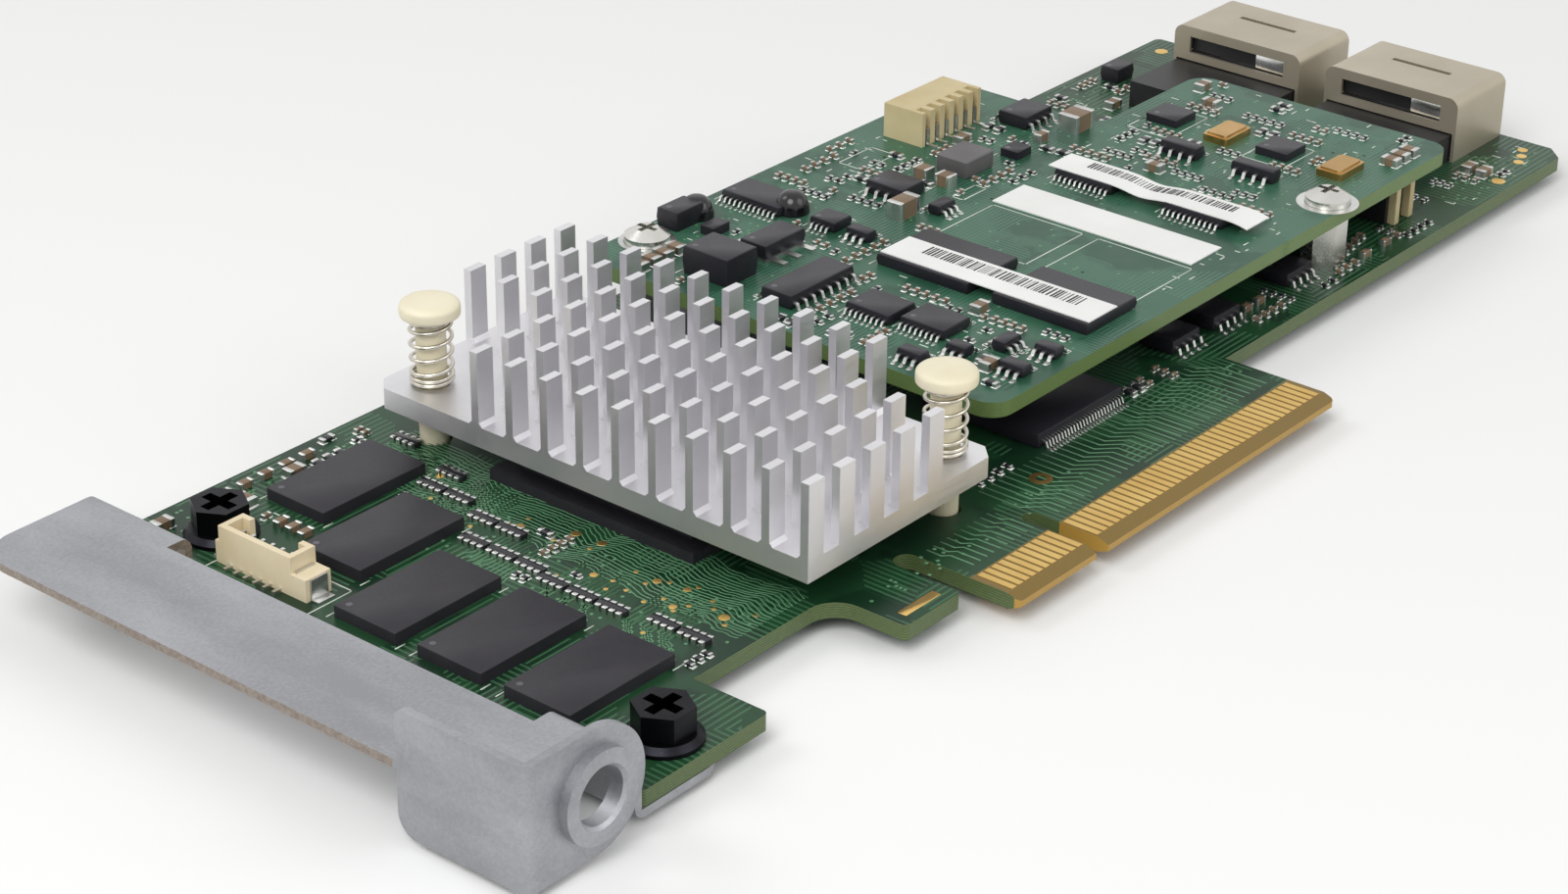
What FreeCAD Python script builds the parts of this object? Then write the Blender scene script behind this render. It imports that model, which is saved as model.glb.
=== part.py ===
import FreeCAD, Part
import math
import os
import Sketcher
from FreeCAD import Rotation, Vector

# Low-profile RAID controller card: main board with its gold edge contacts,
# folded end bracket, pin-fin heat sink on sprung push pins, five memory chips,
# and a stacked daughter board; two right-angle mini-SAS sockets at the far end.
# Frame: X runs from the bracket end to the socket end, Y from the edge contacts
# to the opposite long edge, Z out of the component side. The origin lies in the
# key notch, at the contact edge and half way through the board.

doc = FreeCAD.newDocument("RaidCard")
sheet = doc.addObject("Spreadsheet::Sheet", "Sizes")

SIZES = [
    # main board: ends, long edges, tabs, tongue and key notch
    ("boardLeft", 57.15), ("boardRight", 110.5), ("boardTop", 68.9),
    ("boardThick", 1.57), ("boardEdgeY", 12.75), ("tabBottomY", 4.5),
    ("endTabRight", 41.4), ("hookLeft", 23.0), ("hookRight", 15.1),
    ("tongueLeft", 12.6), ("tongueRight", 39.6), ("notchHalf", 0.95),
    ("notchDepth", 8.8), ("notchRound", 0.9), ("bevelRun", 1.3),
    ("bevelRise", 0.47), ("slotRound", 1.2), ("hookRound", 3.0),
    ("tabRound", 0.6), ("farCornerCut", 2.0), ("farCornerRound", 0.8),
    # edge contacts
    ("contactPitch", 1.0), ("contactWidth", 0.7), ("contactStartY", 1.4),
    ("contactLength", 3.8), ("contactThick", 0.05), ("contactFirst", 1.5),
    ("shortCount", 11), ("longCount", 38),
    # bracket
    ("sheetThick", 0.8), ("bendRound", 1.2), ("bendInner", 0.4),
    ("plateTopH", 4.4), ("plateOver", 0.4), ("bracketFront", 71.2),
    ("bracketGap", 0.1), ("sideFlangeY", 3.6), ("frontFlangeEnd", 17.6),
    ("flangeTopRound", 1.0), ("flangeLowRound", 2.0), ("lugInset", 7.7),
    ("lugH", 3.44), ("lugRadius", 5.81), ("lugHole", 2.55), ("collarDepth", 0.9),
    ("lipRound", 0.3), ("reliefLeft", 3.7), ("reliefRight", 5.1),
    ("reliefFar", 9.0), ("plateShort", 2.85), ("earReach", 10.65),
    ("earNear", 4.9), ("earFar", 4.5),
    ("plateRound", 4.0), ("earRound", 3.0),
    # flange screws
    ("screwInset", 7.15), ("screwNearY", 8.5), ("screwFarInset", 7.4),
    ("screwHole", 1.7), ("screwShank", 1.45), ("threadGap", 0.05),
    ("screwFlange", 3.45), ("screwFlangeThick", 0.9), ("screwFlangeSlope", 0.5),
    ("screwHexFlats", 4.8), ("screwHexHeight", 2.4), ("screwTail", 0.6),
    ("recessReach", 1.8), ("recessWidth", 1.1), ("recessDepth", 1.4),
    # memory chips: one corner each, from the near one up
    ("dramLength", 13.0), ("dramWidth", 7.5), ("dramHeight", 1.2),
    ("dramCount", 5), ("dramFirstY", 15.3), ("dramFarGap", 5.7),
    ("dramInset", 3.35), ("dramFourth", 5.7), ("dramFifth", 10.9),
    # controller, pad and heat sink
    ("sinkLeft", 27.9), ("sinkNearY", 11.5), ("sinkRows", 13),
    ("sinkColumns", 7), ("sinkFarGap", 4.42), ("finThick", 0.9),
    ("finPitchX", 4.2), ("finLength", 2.1), ("sinkBaseH", 3.7),
    ("sinkBaseThick", 2.1), ("finHeight", 7.5), ("channelFlare", 0.4),
    ("earCut", 1.5), ("earRows", 3), ("earColumnsNear", 2),
    ("earColumnsFar", 3), ("chipSide", 25.0), ("chipSubstrate", 1.1),
    ("chipLid", 2.1), ("chipLidInset", 2.0), ("padSide", 18.0),
    # push pins and springs
    ("pinNearInX", 3.2), ("pinNearInY", 3.7), ("pinFarInX", 3.9),
    ("pinFarInY", 4.08), ("pinHole", 1.75), ("pinStem", 1.45),
    ("pinHeadRadius", 2.9), ("pinHeadThick", 1.4), ("pinHeadEdge", 0.5),
    ("pinHeadRise", 7.1), ("pinTail", 1.6), ("pinTipRadius", 0.8),
    ("pinBarb", 2.1), ("pinBarbRise", 0.5), ("springRadius", 1.99),
    ("springWire", 0.19), ("springPitch", 1.7), ("springSeat", 0.29),
    # wire header beside the bracket
    ("headInset", 3.4), ("headScrewGap", 13.2), ("headDepth", 3.0),
    ("headLength", 9.2), ("headHeight", 3.8), ("headWall", 0.6),
    ("headPost", 0.9), ("headStepHigh", 2.2), ("headStepNear", 1.8),
    ("headStepFar", 0.5), ("headWays", 6),
    ("headPitch", 1.25), ("headPinSide", 0.35), ("headFloor", 0.8),
    ("headPinDrop", 0.7), ("headTailReach", 0.9), ("headTabLength", 2.2),
    ("headTabThick", 0.2), ("headTabHeight", 2.4), ("headTabIn", 0.15),
    # daughter board and its supports
    ("stackGap", 5.4), ("dbLeft", 4.5), ("dbLength", 83.5), ("dbStep", 63.5),
    ("dbFarGap", 0.9), ("dbWidth", 52.5), ("dbNarrow", 33.0),
    ("dbRound", 2.5), ("standFlats", 4.0), ("standBore", 1.25),
    ("standNearX", 61.5), ("standNearY", 2.3), ("standFarX", 7.3),
    ("standFarY", 49.7), ("standHole", 1.5), ("panHead", 2.4),
    ("panHeight", 1.5), ("panShoulder", 0.75),
    ("panShank", 1.1), ("panLength", 5.0), ("panRecess", 1.2),
    ("panSlot", 0.6), ("panSlotDepth", 0.8),
    # stacking connector between the boards
    ("stackX", 74.5), ("stackY", 2.5), ("stackDepth", 5.0),
    ("stackLength", 25.0), ("stackLower", 3.0), ("stackWall", 0.8),
    ("pegSide", 0.9), ("pegInset", 0.6),
    # mini-SAS sockets
    ("sasEdgeGap", 0.3), ("sasReach", 10.9), ("sasWidth", 17.3),
    ("sasHeight", 7.5), ("sasSheet", 0.4), ("sasRound", 1.2),
    ("sasFarGap", 9.6), ("sasPitchY", 20.8), ("sasBodyReach", 9.8),
    ("sasBodyHeight", 3.2), ("sasTongueReach", 6.5), ("sasTongueH", 4.4),
    ("sasTongueThick", 1.3),
    ("sasTongueInset", 1.5), ("sasClear", 0.15), ("sasWays", 18),
    ("sasPitch", 0.8), ("sasContact", 0.4), ("sasTail", 1.2),
    ("sasTailThick", 0.2), ("sasCore", 2.2), ("sasWindowH", 4.3),
    ("sasWindowEdge", 2.2), ("sasWindowTop", 1.2), ("sasSlotWidth", 7.6),
    ("sasSlotLength", 0.7), ("sasSlotBack", 4.6),
    # lead frames, shared by every leaded chip
    ("chipGap", 0.1), ("leadThick", 0.2), ("leadReach", 1.05),
    ("soPitch", 1.27), ("soLead", 0.42), ("finePitch", 0.65),
    ("fineLead", 0.26), ("quadPitch", 0.5), ("quadLead", 0.22),
    ("smallPitch", 0.95), ("soWays", 4), ("wideWays", 8), ("shortWays", 8),
    ("busWays", 11), ("portWays", 12), ("miniWays", 4), ("smallWays", 3),
    ("quadWays", 26),
    ("labelThick", 0.12),
    # right-angle header on the daughter board
    ("sideInX", 45.3), ("sideInY", 43.6), ("sideLength", 10.5), ("sideDepth", 5.3),
    ("sideHeight", 3.9), ("sideWays", 6), ("sidePitch", 1.7),
    ("sideSlot", 0.9), ("sideSlotDeep", 1.4), ("sideWall", 0.7),
    ("sideMouth", 3.0), ("sidePin", 0.45), ("sideTail", 1.3),
    # transistor, glue, passives
    ("powerInX", 10.8), ("powerInY", 36.9), ("powerLength", 6.4),
    ("powerDepth", 3.5), ("powerHeight", 1.8), ("powerTabReach", 2.0),
    ("powerTabWide", 3.2), ("powerTabThick", 0.3), ("powerLegReach", 1.9),
    ("powerLegWidth", 0.75), ("powerLegPitch", 2.28), ("powerLegs", 3),
    ("diodeInX", 10.7), ("diodeInY", 48.6), ("diodeLength", 4.3),
    ("diodeWidth", 2.9), ("diodeHeight", 2.1), ("glueRadius", 1.85),
    ("glueHigh", 2.3), ("glueShoulder", 1.55), ("glueShoulderH", 1.3),
    ("glueCrown", 0.75), ("glueLapX", 0.4), ("glueLapY", 0.2),
    ("arrayLong", 3.2), ("arrayWide", 1.6), ("arrayHigh", 0.55),
    ("passiveLong", 1.6), ("passiveWide", 0.8), ("passiveHigh", 0.7),
    ("overCut", 1.0),
]


class Dim:
    # a length that keeps the spreadsheet formula it comes from
    def __init__(self, value, text):
        self.value = value
        self.text = text

    def joined(self, other, sign, value):
        return Dim(value, "(%s %s %s)" % (self.text, sign, other.text))

    def __add__(self, other):
        other = asDim(other)
        return self.joined(other, "+", self.value + other.value)

    def __sub__(self, other):
        other = asDim(other)
        return self.joined(other, "-", self.value - other.value)

    def __mul__(self, other):
        other = asDim(other)
        return self.joined(other, "*", self.value * other.value)

    def __truediv__(self, other):
        other = asDim(other)
        return self.joined(other, "/", self.value / other.value)

    def __neg__(self):
        return Dim(-self.value, "(0 - %s)" % self.text)


def asDim(entry):
    if isinstance(entry, Dim):
        return entry
    return Dim(float(entry), "%.6g" % entry)


class Sizes:
    pass


S = Sizes()
filled = []


def sheetSize(alias, value):
    # a cell of the sheet: name in column A, number with that alias in column B
    filled.append(alias)
    row = len(filled)
    sheet.set("A%d" % row, alias)
    sheet.set("B%d" % row, str(value))
    sheet.setAlias("B%d" % row, alias)
    return Dim(float(value), "Sizes.%s" % alias)


def tabled(prefix, values):
    # place and size of one small part, kept in the sheet as well
    names = ("PlaceX", "PlaceY", "Long", "Wide", "High")
    sizes = [sheetSize(prefix + name, value) for name, value in zip(names, values)]
    sheet.recompute()
    return sizes


for alias, value in SIZES:
    setattr(S, alias, sheetSize(alias, value))
sheet.recompute()
nodes = []


def bind(item, path, entry):
    item.setExpression(path, asDim(entry).text)


def place(item, x=0, y=0, z=0):
    for path, entry in (("x", x), ("y", y), ("z", z)):
        bind(item, "Placement.Base." + path, entry)


def keep(item, label):
    item.Label = label
    nodes.append(item)
    return item


def newBody(name):
    body = doc.addObject("PartDesign::Body", name)
    return body


def originPart(body, role):
    for feature in body.Origin.OriginFeatures:
        if feature.Role == role:
            return feature
    raise ValueError(role)


def newSketch(body, plane, level=None):
    sketch = body.newObject("Sketcher::SketchObject", body.Name + "Sketch")
    sketch.AttachmentSupport = [(originPart(body, plane), "")]
    sketch.MapMode = "FlatFace"
    if level is not None:
        bind(sketch, "AttachmentOffset.Base.z", level)
    return sketch


def pinPoint(sketch, geo, end, x, y):
    for kind, entry in (("DistanceX", x), ("DistanceY", y)):
        entry = asDim(entry)
        rule = Sketcher.Constraint(kind, -1, 1, geo, end, entry.value)
        index = sketch.addConstraint(rule)
        bind(sketch, "Constraints[%d]" % index, entry)


def drawLoop(sketch, points):
    # closed outline through the points, each held by two driven distances
    points = [(asDim(x), asDim(y)) for x, y in points]
    first = sketch.GeometryCount
    count = len(points)
    for k in range(count):
        a = points[k]
        b = points[(k + 1) % count]
        start = Vector(a[0].value, a[1].value, 0)
        stop = Vector(b[0].value, b[1].value, 0)
        sketch.addGeometry(Part.LineSegment(start, stop), False)
    for k in range(count):
        after = first + (k + 1) % count
        sketch.addConstraint(Sketcher.Constraint("Coincident", first + k, 2, after, 1))
        pinPoint(sketch, first + k, 1, points[k][0], points[k][1])


def drawBox(sketch, x0, y0, x1, y1):
    drawLoop(sketch, [(x0, y0), (x1, y0), (x1, y1), (x0, y1)])


def drawCircle(sketch, x, y, radius):
    x, y, radius = asDim(x), asDim(y), asDim(radius)
    circle = Part.Circle(Vector(x.value, y.value, 0), Vector(0, 0, 1), radius.value)
    geo = sketch.addGeometry(circle, False)
    pinPoint(sketch, geo, 3, x, y)
    index = sketch.addConstraint(Sketcher.Constraint("Radius", geo, radius.value))
    bind(sketch, "Constraints[%d]" % index, radius)


def drawHexagon(sketch, flats):
    corner = flats / math.sqrt(3)
    half = flats / 2
    drawLoop(sketch, [(corner, 0), (corner / 2, half), (-(corner / 2), half),
                      (-corner, 0), (-(corner / 2), -half), (corner / 2, -half)])


def addPad(body, sketch, length, backward=False):
    pad = body.newObject("PartDesign::Pad", body.Name + "Pad")
    pad.Profile = sketch
    bind(pad, "Length", length)
    pad.Reversed = backward
    body.Tip = pad
    return pad


def addPocket(body, sketch, length, backward=False):
    pocket = body.newObject("PartDesign::Pocket", body.Name + "Pocket")
    pocket.Profile = sketch
    bind(pocket, "Length", length)
    pocket.Reversed = backward
    body.Tip = pocket
    return pocket


def addTurned(body, sketch, kind="Revolution"):
    turned = body.newObject("PartDesign::" + kind, body.Name + kind)
    turned.Profile = sketch
    turned.ReferenceAxis = (sketch, ["V_Axis"])
    turned.Angle = 360
    body.Tip = turned
    return turned


def addRow(body, source, axis, step, count):
    row = body.newObject("PartDesign::LinearPattern", body.Name + "Row")
    row.Originals = [source]
    row.Direction = (originPart(body, axis), [""])
    count = asDim(count)
    bind(row, "Length", asDim(step) * (count - 1))
    bind(row, "Occurrences", count)
    body.Tip = row
    return row


def edgesWhere(shape, test):
    names = []
    for number, edge in enumerate(shape.Edges, 1):
        if test(edge):
            names.append("Edge%d" % number)
    return names


def uprightAt(spots, reach=0.05):
    # the vertical edges that stand on the given spots
    def test(edge):
        a = edge.Vertexes[0].Point
        b = edge.Vertexes[-1].Point
        if abs(a.x - b.x) > reach or abs(a.y - b.y) > reach or abs(a.z - b.z) < reach:
            return False
        for x, y in spots:
            if abs(a.x - asDim(x).value) < reach and abs(a.y - asDim(y).value) < reach:
                return True
        return False
    return test


def lyingAt(first, second, spots, reach=0.05):
    # the straight edges that pass through the spots given in two coordinates
    def test(edge):
        a = edge.Vertexes[0].Point
        b = edge.Vertexes[-1].Point
        p, q = getattr(a, first), getattr(a, second)
        still = abs(p - getattr(b, first)) < reach and abs(q - getattr(b, second)) < reach
        if not still or (a - b).Length < reach:
            return False
        return any(abs(p - asDim(x).value) < reach and abs(q - asDim(y).value) < reach
                   for x, y in spots)
    return test


def ringAt(x, y, z, radius, reach=0.05):
    # the round edge of the given radius about the given point
    def test(edge):
        curve = edge.Curve
        if curve.TypeId != "Part::GeomCircle" or abs(curve.Radius - radius.value) > reach:
            return False
        middle = Vector(asDim(x).value, asDim(y).value, asDim(z).value)
        return (curve.Center - middle).Length < reach
    return test


def addRound(body, test, radius, kind="Fillet"):
    doc.recompute()
    base = body.Tip
    names = edgesWhere(base.Shape, test)
    if not names:
        raise ValueError("no edge found on " + body.Name)
    rounding = body.newObject("PartDesign::" + kind, body.Name + kind)
    rounding.Base = (base, names)
    bind(rounding, "Radius" if kind == "Fillet" else "Size", radius)
    body.Tip = rounding
    return rounding


def plainBox(name, dx, dy, dz, x, y, z):
    box = doc.addObject("Part::Box", name)
    bind(box, "Length", dx)
    bind(box, "Width", dy)
    bind(box, "Height", dz)
    place(box, x, y, z)
    return box


def plainCylinder(name, radius, height, x, y, z):
    cylinder = doc.addObject("Part::Cylinder", name)
    bind(cylinder, "Radius", radius)
    bind(cylinder, "Height", height)
    place(cylinder, x, y, z)
    return cylinder


def group(name, items):
    # separate solids that make up one node
    compound = doc.addObject("Part::Compound", name)
    compound.Links = items
    return compound


def cutFrom(name, base, tools):
    cutter = tools[0] if len(tools) == 1 else group(name + "Tools", tools)
    cut = doc.addObject("Part::Cut", name)
    cut.Base = base
    cut.Tool = cutter
    return cut


def fused(name, items):
    joined = doc.addObject("Part::MultiFuse", name)
    joined.Shapes = items
    return joined


# ---------------------------------------------------------------- main board
boardZ = S.boardThick / 2
underZ = -boardZ
daughterZ = boardZ + S.stackGap
topZ = daughterZ + S.boardThick
left = -S.boardLeft
past = S.overCut
screwX = left + S.screwInset
screwFarY = S.boardTop - S.screwFarInset
SCREW_SPOTS = ((screwX, S.screwNearY), (screwX, screwFarY))

# the sink spans the board from near its contact edge to near its far edge
finPitchY = (S.boardTop - S.sinkFarGap - S.finThick - S.sinkNearY) / (S.sinkRows - 1)
sinkWidth = S.finPitchX * (S.sinkColumns - 1) + S.finLength
sinkDepth = finPitchY * (S.sinkRows - 1) + S.finThick
sinkRight = sinkWidth - S.sinkLeft
sinkFarY = S.sinkNearY + sinkDepth
PIN_SPOTS = ((sinkRight - S.pinNearInX, S.sinkNearY + S.pinNearInY),
             (S.pinFarInX - S.sinkLeft, sinkFarY - S.pinFarInY))

# the daughter board hangs from the far edge; its parts are placed from its corner
dbFar = S.boardTop - S.dbFarGap
dbNear = dbFar - S.dbWidth
dbRight = S.dbLeft + S.dbLength
dbStepX = S.dbLeft + S.dbStep
dbNarrowFar = dbNear + S.dbNarrow
MAIN = (0, 0, boardZ)
STACK = (S.dbLeft, dbNear, topZ)
STAND_SPOTS = ((S.dbLeft + S.standNearX, dbNear + S.standNearY),
               (S.dbLeft + S.standFarX, dbNear + S.standFarY))

board = newBody("MainBoard")
sketch = newSketch(board, "XY_Plane", underZ)
drawLoop(sketch, [
    (left, S.tabBottomY), (-S.endTabRight, S.tabBottomY),
    (-S.endTabRight, S.boardEdgeY), (-S.hookLeft, S.boardEdgeY),
    (-S.hookLeft, S.tabBottomY), (-S.hookRight, S.tabBottomY),
    (-S.hookRight, S.boardEdgeY), (-S.tongueLeft, S.boardEdgeY),
    (-S.tongueLeft, 0), (-S.notchHalf, 0), (-S.notchHalf, S.notchDepth),
    (S.notchHalf, S.notchDepth), (S.notchHalf, 0), (S.tongueRight, 0),
    (S.tongueRight, S.boardEdgeY), (S.boardRight, S.boardEdgeY),
    (S.boardRight, S.boardTop), (left, S.boardTop)])
addPad(board, sketch, S.boardThick)
slotEnds = [(-S.hookRight, S.boardEdgeY), (-S.tongueLeft, S.boardEdgeY)]
addRound(board, uprightAt(slotEnds), S.slotRound)
notchEnds = [(-S.notchHalf, S.notchDepth), (S.notchHalf, S.notchDepth)]
addRound(board, uprightAt(notchEnds), S.notchRound)
addRound(board, uprightAt([(-S.hookLeft, S.boardEdgeY)]), S.hookRound)
addRound(board, uprightAt([(S.boardRight, S.boardEdgeY)]), S.farCornerCut, "Chamfer")
addRound(board, uprightAt([(S.boardRight, S.boardTop)]), S.farCornerRound)
tabCorners = [(-S.tongueLeft, 0), (S.tongueRight, 0), (left, S.tabBottomY),
              (-S.endTabRight, S.tabBottomY), (-S.hookRight, S.tabBottomY),
              (-S.hookLeft, S.tabBottomY)]
addRound(board, uprightAt(tabCorners), S.tabRound)
# the contact edge is bevelled on both faces
for face, step in ((boardZ, S.bevelRise), (underZ, -S.bevelRise)):
    bevel = newSketch(board, "YZ_Plane", S.tongueRight + past)
    drawLoop(bevel, [(-S.bevelRun, face - step * 2), (S.bevelRun, face),
                     (S.bevelRun, face + step), (-S.bevelRun, face + step)])
    addPocket(board, bevel, S.tongueRight + S.tongueLeft + past * 2)
holes = newSketch(board, "XY_Plane", boardZ)
for x, y in SCREW_SPOTS:
    drawCircle(holes, x, y, S.screwHole)
for x, y in PIN_SPOTS:
    drawCircle(holes, x, y, S.pinHole)
addPocket(board, holes, S.boardThick + past)
keep(board, "main_board")

# gold contacts in two banks, on both faces of the tongue
contacts = newBody("EdgeContacts")
banks = ((-(S.contactFirst + (S.shortCount - 1) * S.contactPitch), S.shortCount),
         (S.contactFirst, S.longCount))
pads = []
for level, tag in ((boardZ, "Upper"), (underZ - S.contactThick, "Under")):
    for first, count in banks:
        bank = newBody("Contacts" + tag)
        strip = newSketch(bank, "XY_Plane", level)
        drawBox(strip, first - S.contactWidth / 2, S.contactStartY,
                first + S.contactWidth / 2, S.contactStartY + S.contactLength)
        addRow(bank, addPad(bank, strip, S.contactThick), "X_Axis", S.contactPitch, count)
        pads.append(bank)
keep(group("ContactBanks", pads), "edge_contacts")

# ------------------------------------------------------------------- bracket
# One folded steel sheet. A wide plate stands off the board's end; a web at each
# end of it bends down and under the board as an ear for a screw; a corner of
# front and side flange carries the round lug, its fixing hole drawn outwards.
webRight = left - S.bracketGap
webLeft = webRight - S.sheetThick
earTop = underZ
earLow = underZ - S.sheetThick
plateTop = boardZ + S.plateTopH
plateLow = plateTop - S.sheetThick
front = -S.bracketFront
plateNear = S.sideFlangeY + S.sheetThick
plateFar = S.boardTop + S.plateOver
plateRight = left - S.plateShort
earRight = left + S.earReach
nearEarFar = S.screwNearY + S.earNear
farEarNear = screwFarY - S.earFar
farEarFar = screwFarY + S.earFar
lugX = front + S.lugInset
bracket = newBody("Bracket")
profile = newSketch(bracket, "XZ_Plane", -plateFar)
drawLoop(profile, [
    (front, plateLow), (webLeft, plateLow), (webLeft, earLow),
    (earRight, earLow), (earRight, earTop),
    (webRight, earTop), (webRight, plateTop), (front, plateTop)])
addPad(bracket, profile, plateFar - plateNear)
addRound(bracket, lyingAt("x", "z", [(webRight, plateTop), (webLeft, earLow)]),
         S.bendRound)
addRound(bracket, lyingAt("x", "z", [(webLeft, plateLow)]), S.bendInner)
# cleared between the ears, beyond the far ear, and behind the lug
clearances = newSketch(bracket, "XY_Plane", plateTop + past)
drawBox(clearances, plateRight, nearEarFar, earRight + past, farEarNear)
drawBox(clearances, lugX - S.reliefLeft, 0, lugX + S.reliefRight, S.reliefFar)
addPocket(bracket, clearances, S.boardThick + S.plateTopH + S.sheetThick + past * 2)
beyond = newSketch(bracket, "XY_Plane", underZ + S.bracketGap)
drawBox(beyond, webRight, farEarFar, earRight + past, plateFar + past)
addPocket(bracket, beyond, S.sheetThick + past)
addRound(bracket, uprightAt([
    (earRight, plateNear), (earRight, nearEarFar),
    (earRight, farEarNear), (earRight, farEarFar)]), S.earRound)
addRound(bracket, uprightAt([(front, plateFar)]), S.plateRound)
lugZ = boardZ + S.lugH
flangeLow = lugZ - S.lugRadius
flangeTop = lugZ + S.lugRadius
sideY = S.sideFlangeY
frontFlange = newSketch(bracket, "YZ_Plane", front)
drawBox(frontFlange, sideY, flangeLow, S.frontFlangeEnd, flangeTop)
addPad(bracket, frontFlange, S.sheetThick)
addRound(bracket, lyingAt("y", "z", [(S.frontFlangeEnd, flangeTop)]), S.flangeTopRound)
addRound(bracket, lyingAt("y", "z", [(S.frontFlangeEnd, flangeLow)]), S.flangeLowRound)
sideFlange = newSketch(bracket, "XZ_Plane", -sideY)
drawBox(sideFlange, front, flangeLow, lugX, flangeTop)
addPad(bracket, sideFlange, S.sheetThick, True)
lug = newSketch(bracket, "XZ_Plane", -sideY)
drawCircle(lug, lugX, lugZ, S.lugRadius)
addPad(bracket, lug, S.sheetThick, True)
addRound(bracket, uprightAt([(front, sideY)]), S.bendRound)
collar = newSketch(bracket, "XZ_Plane", -sideY)
drawCircle(collar, lugX, lugZ, S.lugHole + S.sheetThick * 2)
addPad(bracket, collar, S.collarDepth)
lipY = sideY - S.collarDepth
bore = newSketch(bracket, "XZ_Plane", past - lipY)
drawCircle(bore, lugX, lugZ, S.lugHole)
addPocket(bracket, bore, S.sheetThick + S.collarDepth + past * 2)
addRound(bracket, ringAt(lugX, lipY, lugZ, S.lugHole), S.lipRound, "Chamfer")
fixing = newSketch(bracket, "XY_Plane", underZ + S.bracketGap)
for x, y in SCREW_SPOTS:
    drawCircle(fixing, x, y, S.screwShank + S.threadGap)
addPocket(bracket, fixing, S.sheetThick + past)
keep(bracket, "bracket")


def crossRecess(body, level, reach, width, depth):
    # two crossed slots sunk in a screw head
    for reachX, reachY in ((reach, width / 2), (width / 2, reach)):
        slot = newSketch(body, "XY_Plane", level)
        drawBox(slot, -reachX, -reachY, reachX, reachY)
        addPocket(body, slot, depth)


def flangeScrew(name, x, y):
    body = newBody(name)
    turned = newSketch(body, "XZ_Plane")
    tip = earLow - S.screwTail
    flangeZ = boardZ + S.screwFlangeThick
    drawLoop(turned, [
        (0, tip), (S.screwShank, tip), (S.screwShank, boardZ), (S.screwFlange, boardZ),
        (S.screwFlange, flangeZ - S.screwFlangeSlope),
        (S.screwFlange - S.screwFlangeSlope, flangeZ), (0, flangeZ)])
    addTurned(body, turned)
    head = newSketch(body, "XY_Plane", flangeZ)
    drawHexagon(head, S.screwHexFlats)
    addPad(body, head, S.screwHexHeight)
    crossRecess(body, flangeZ + S.screwHexHeight, S.recessReach, S.recessWidth,
                S.recessDepth)
    place(body, x, y)
    return body


keep(group("FlangeScrews", [flangeScrew("FlangeScrew", x, y) for x, y in SCREW_SPOTS]),
     "bracket_screws")

# -------------------------------------------------------------- memory chips
dramX = left + S.dramInset
dramRun = S.boardTop - S.dramFarGap - S.dramWidth - S.dramFirstY
dramPitch = dramRun / (S.dramCount - 1)
for number, shift in enumerate((0, 0, 0, S.dramFourth, S.dramFifth)):
    chip = plainBox("Memory", S.dramLength, S.dramWidth, S.dramHeight,
                    dramX + shift, S.dramFirstY + dramPitch * number, boardZ)
    keep(chip, "memory_chip_%d" % (number + 1))

# ------------------------------------------------- controller under the sink
sinkMidX = sinkRight - sinkWidth / 2
sinkMidY = S.sinkNearY + sinkDepth / 2


def centred(name, side, height, low):
    return plainBox(name, side, side, height, sinkMidX - side / 2, sinkMidY - side / 2, low)


padLow = boardZ + S.chipSubstrate + S.chipLid
sinkLow = boardZ + S.sinkBaseH
sinkBaseTop = sinkLow + S.sinkBaseThick
sinkTop = sinkBaseTop + S.finHeight
controller = [centred("Substrate", S.chipSide, S.chipSubstrate, boardZ),
              centred("Lid", S.chipSide - S.chipLidInset * 2, S.chipLid,
                      boardZ + S.chipSubstrate)]
keep(fused("Controller", controller), "controller_chip")
keep(centred("ThermalPad", S.padSide, sinkLow - padLow, padLow), "thermal_pad")

# ------------------------------------------------------------------ heat sink
# A block with its pins left standing: flared channels cut along X, slots cut
# across them along Y, and two corners cleared as ears for the push pins.
sink = newBody("HeatSink")
blank = newSketch(sink, "XY_Plane", sinkLow)
drawBox(blank, -S.sinkLeft, S.sinkNearY, sinkRight, sinkFarY)
addPad(sink, blank, S.sinkBaseThick + S.finHeight)
channel = newSketch(sink, "YZ_Plane", sinkRight + past)
channelNear = S.sinkNearY + S.finThick
channelFar = S.sinkNearY + finPitchY
drawLoop(channel, [
    (channelNear, sinkTop + past), (channelNear, sinkBaseTop + S.channelFlare),
    (channelNear + S.channelFlare, sinkBaseTop),
    (channelFar - S.channelFlare, sinkBaseTop),
    (channelFar, sinkBaseTop + S.channelFlare), (channelFar, sinkTop + past)])
firstChannel = addPocket(sink, channel, sinkWidth + past * 2)
addRow(sink, firstChannel, "Y_Axis", finPitchY, S.sinkRows - 1)
cross = newSketch(sink, "XZ_Plane", past - S.sinkNearY)
drawBox(cross, -S.sinkLeft + S.finLength, sinkBaseTop, -S.sinkLeft + S.finPitchX,
        sinkTop + past)
firstCross = addPocket(sink, cross, sinkDepth + past * 2)
addRow(sink, firstCross, "X_Axis", S.finPitchX, S.sinkColumns - 1)
ears = newSketch(sink, "XY_Plane", sinkTop + past)
nearEarX = sinkRight - S.finPitchX * S.earColumnsNear
farEarX = S.finPitchX * S.earColumnsFar - S.sinkLeft
drawBox(ears, nearEarX, S.sinkNearY - past, sinkRight + past,
        S.sinkNearY + finPitchY * S.earRows - S.finThick)
drawBox(ears, -S.sinkLeft - past, sinkFarY - finPitchY * S.earRows + S.finThick,
        farEarX - S.finThick, sinkFarY + past)
addPocket(sink, ears, S.finHeight + past)
addRound(sink, uprightAt([(-S.sinkLeft, sinkFarY), (sinkRight, S.sinkNearY)]),
         S.earCut, "Chamfer")
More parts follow.
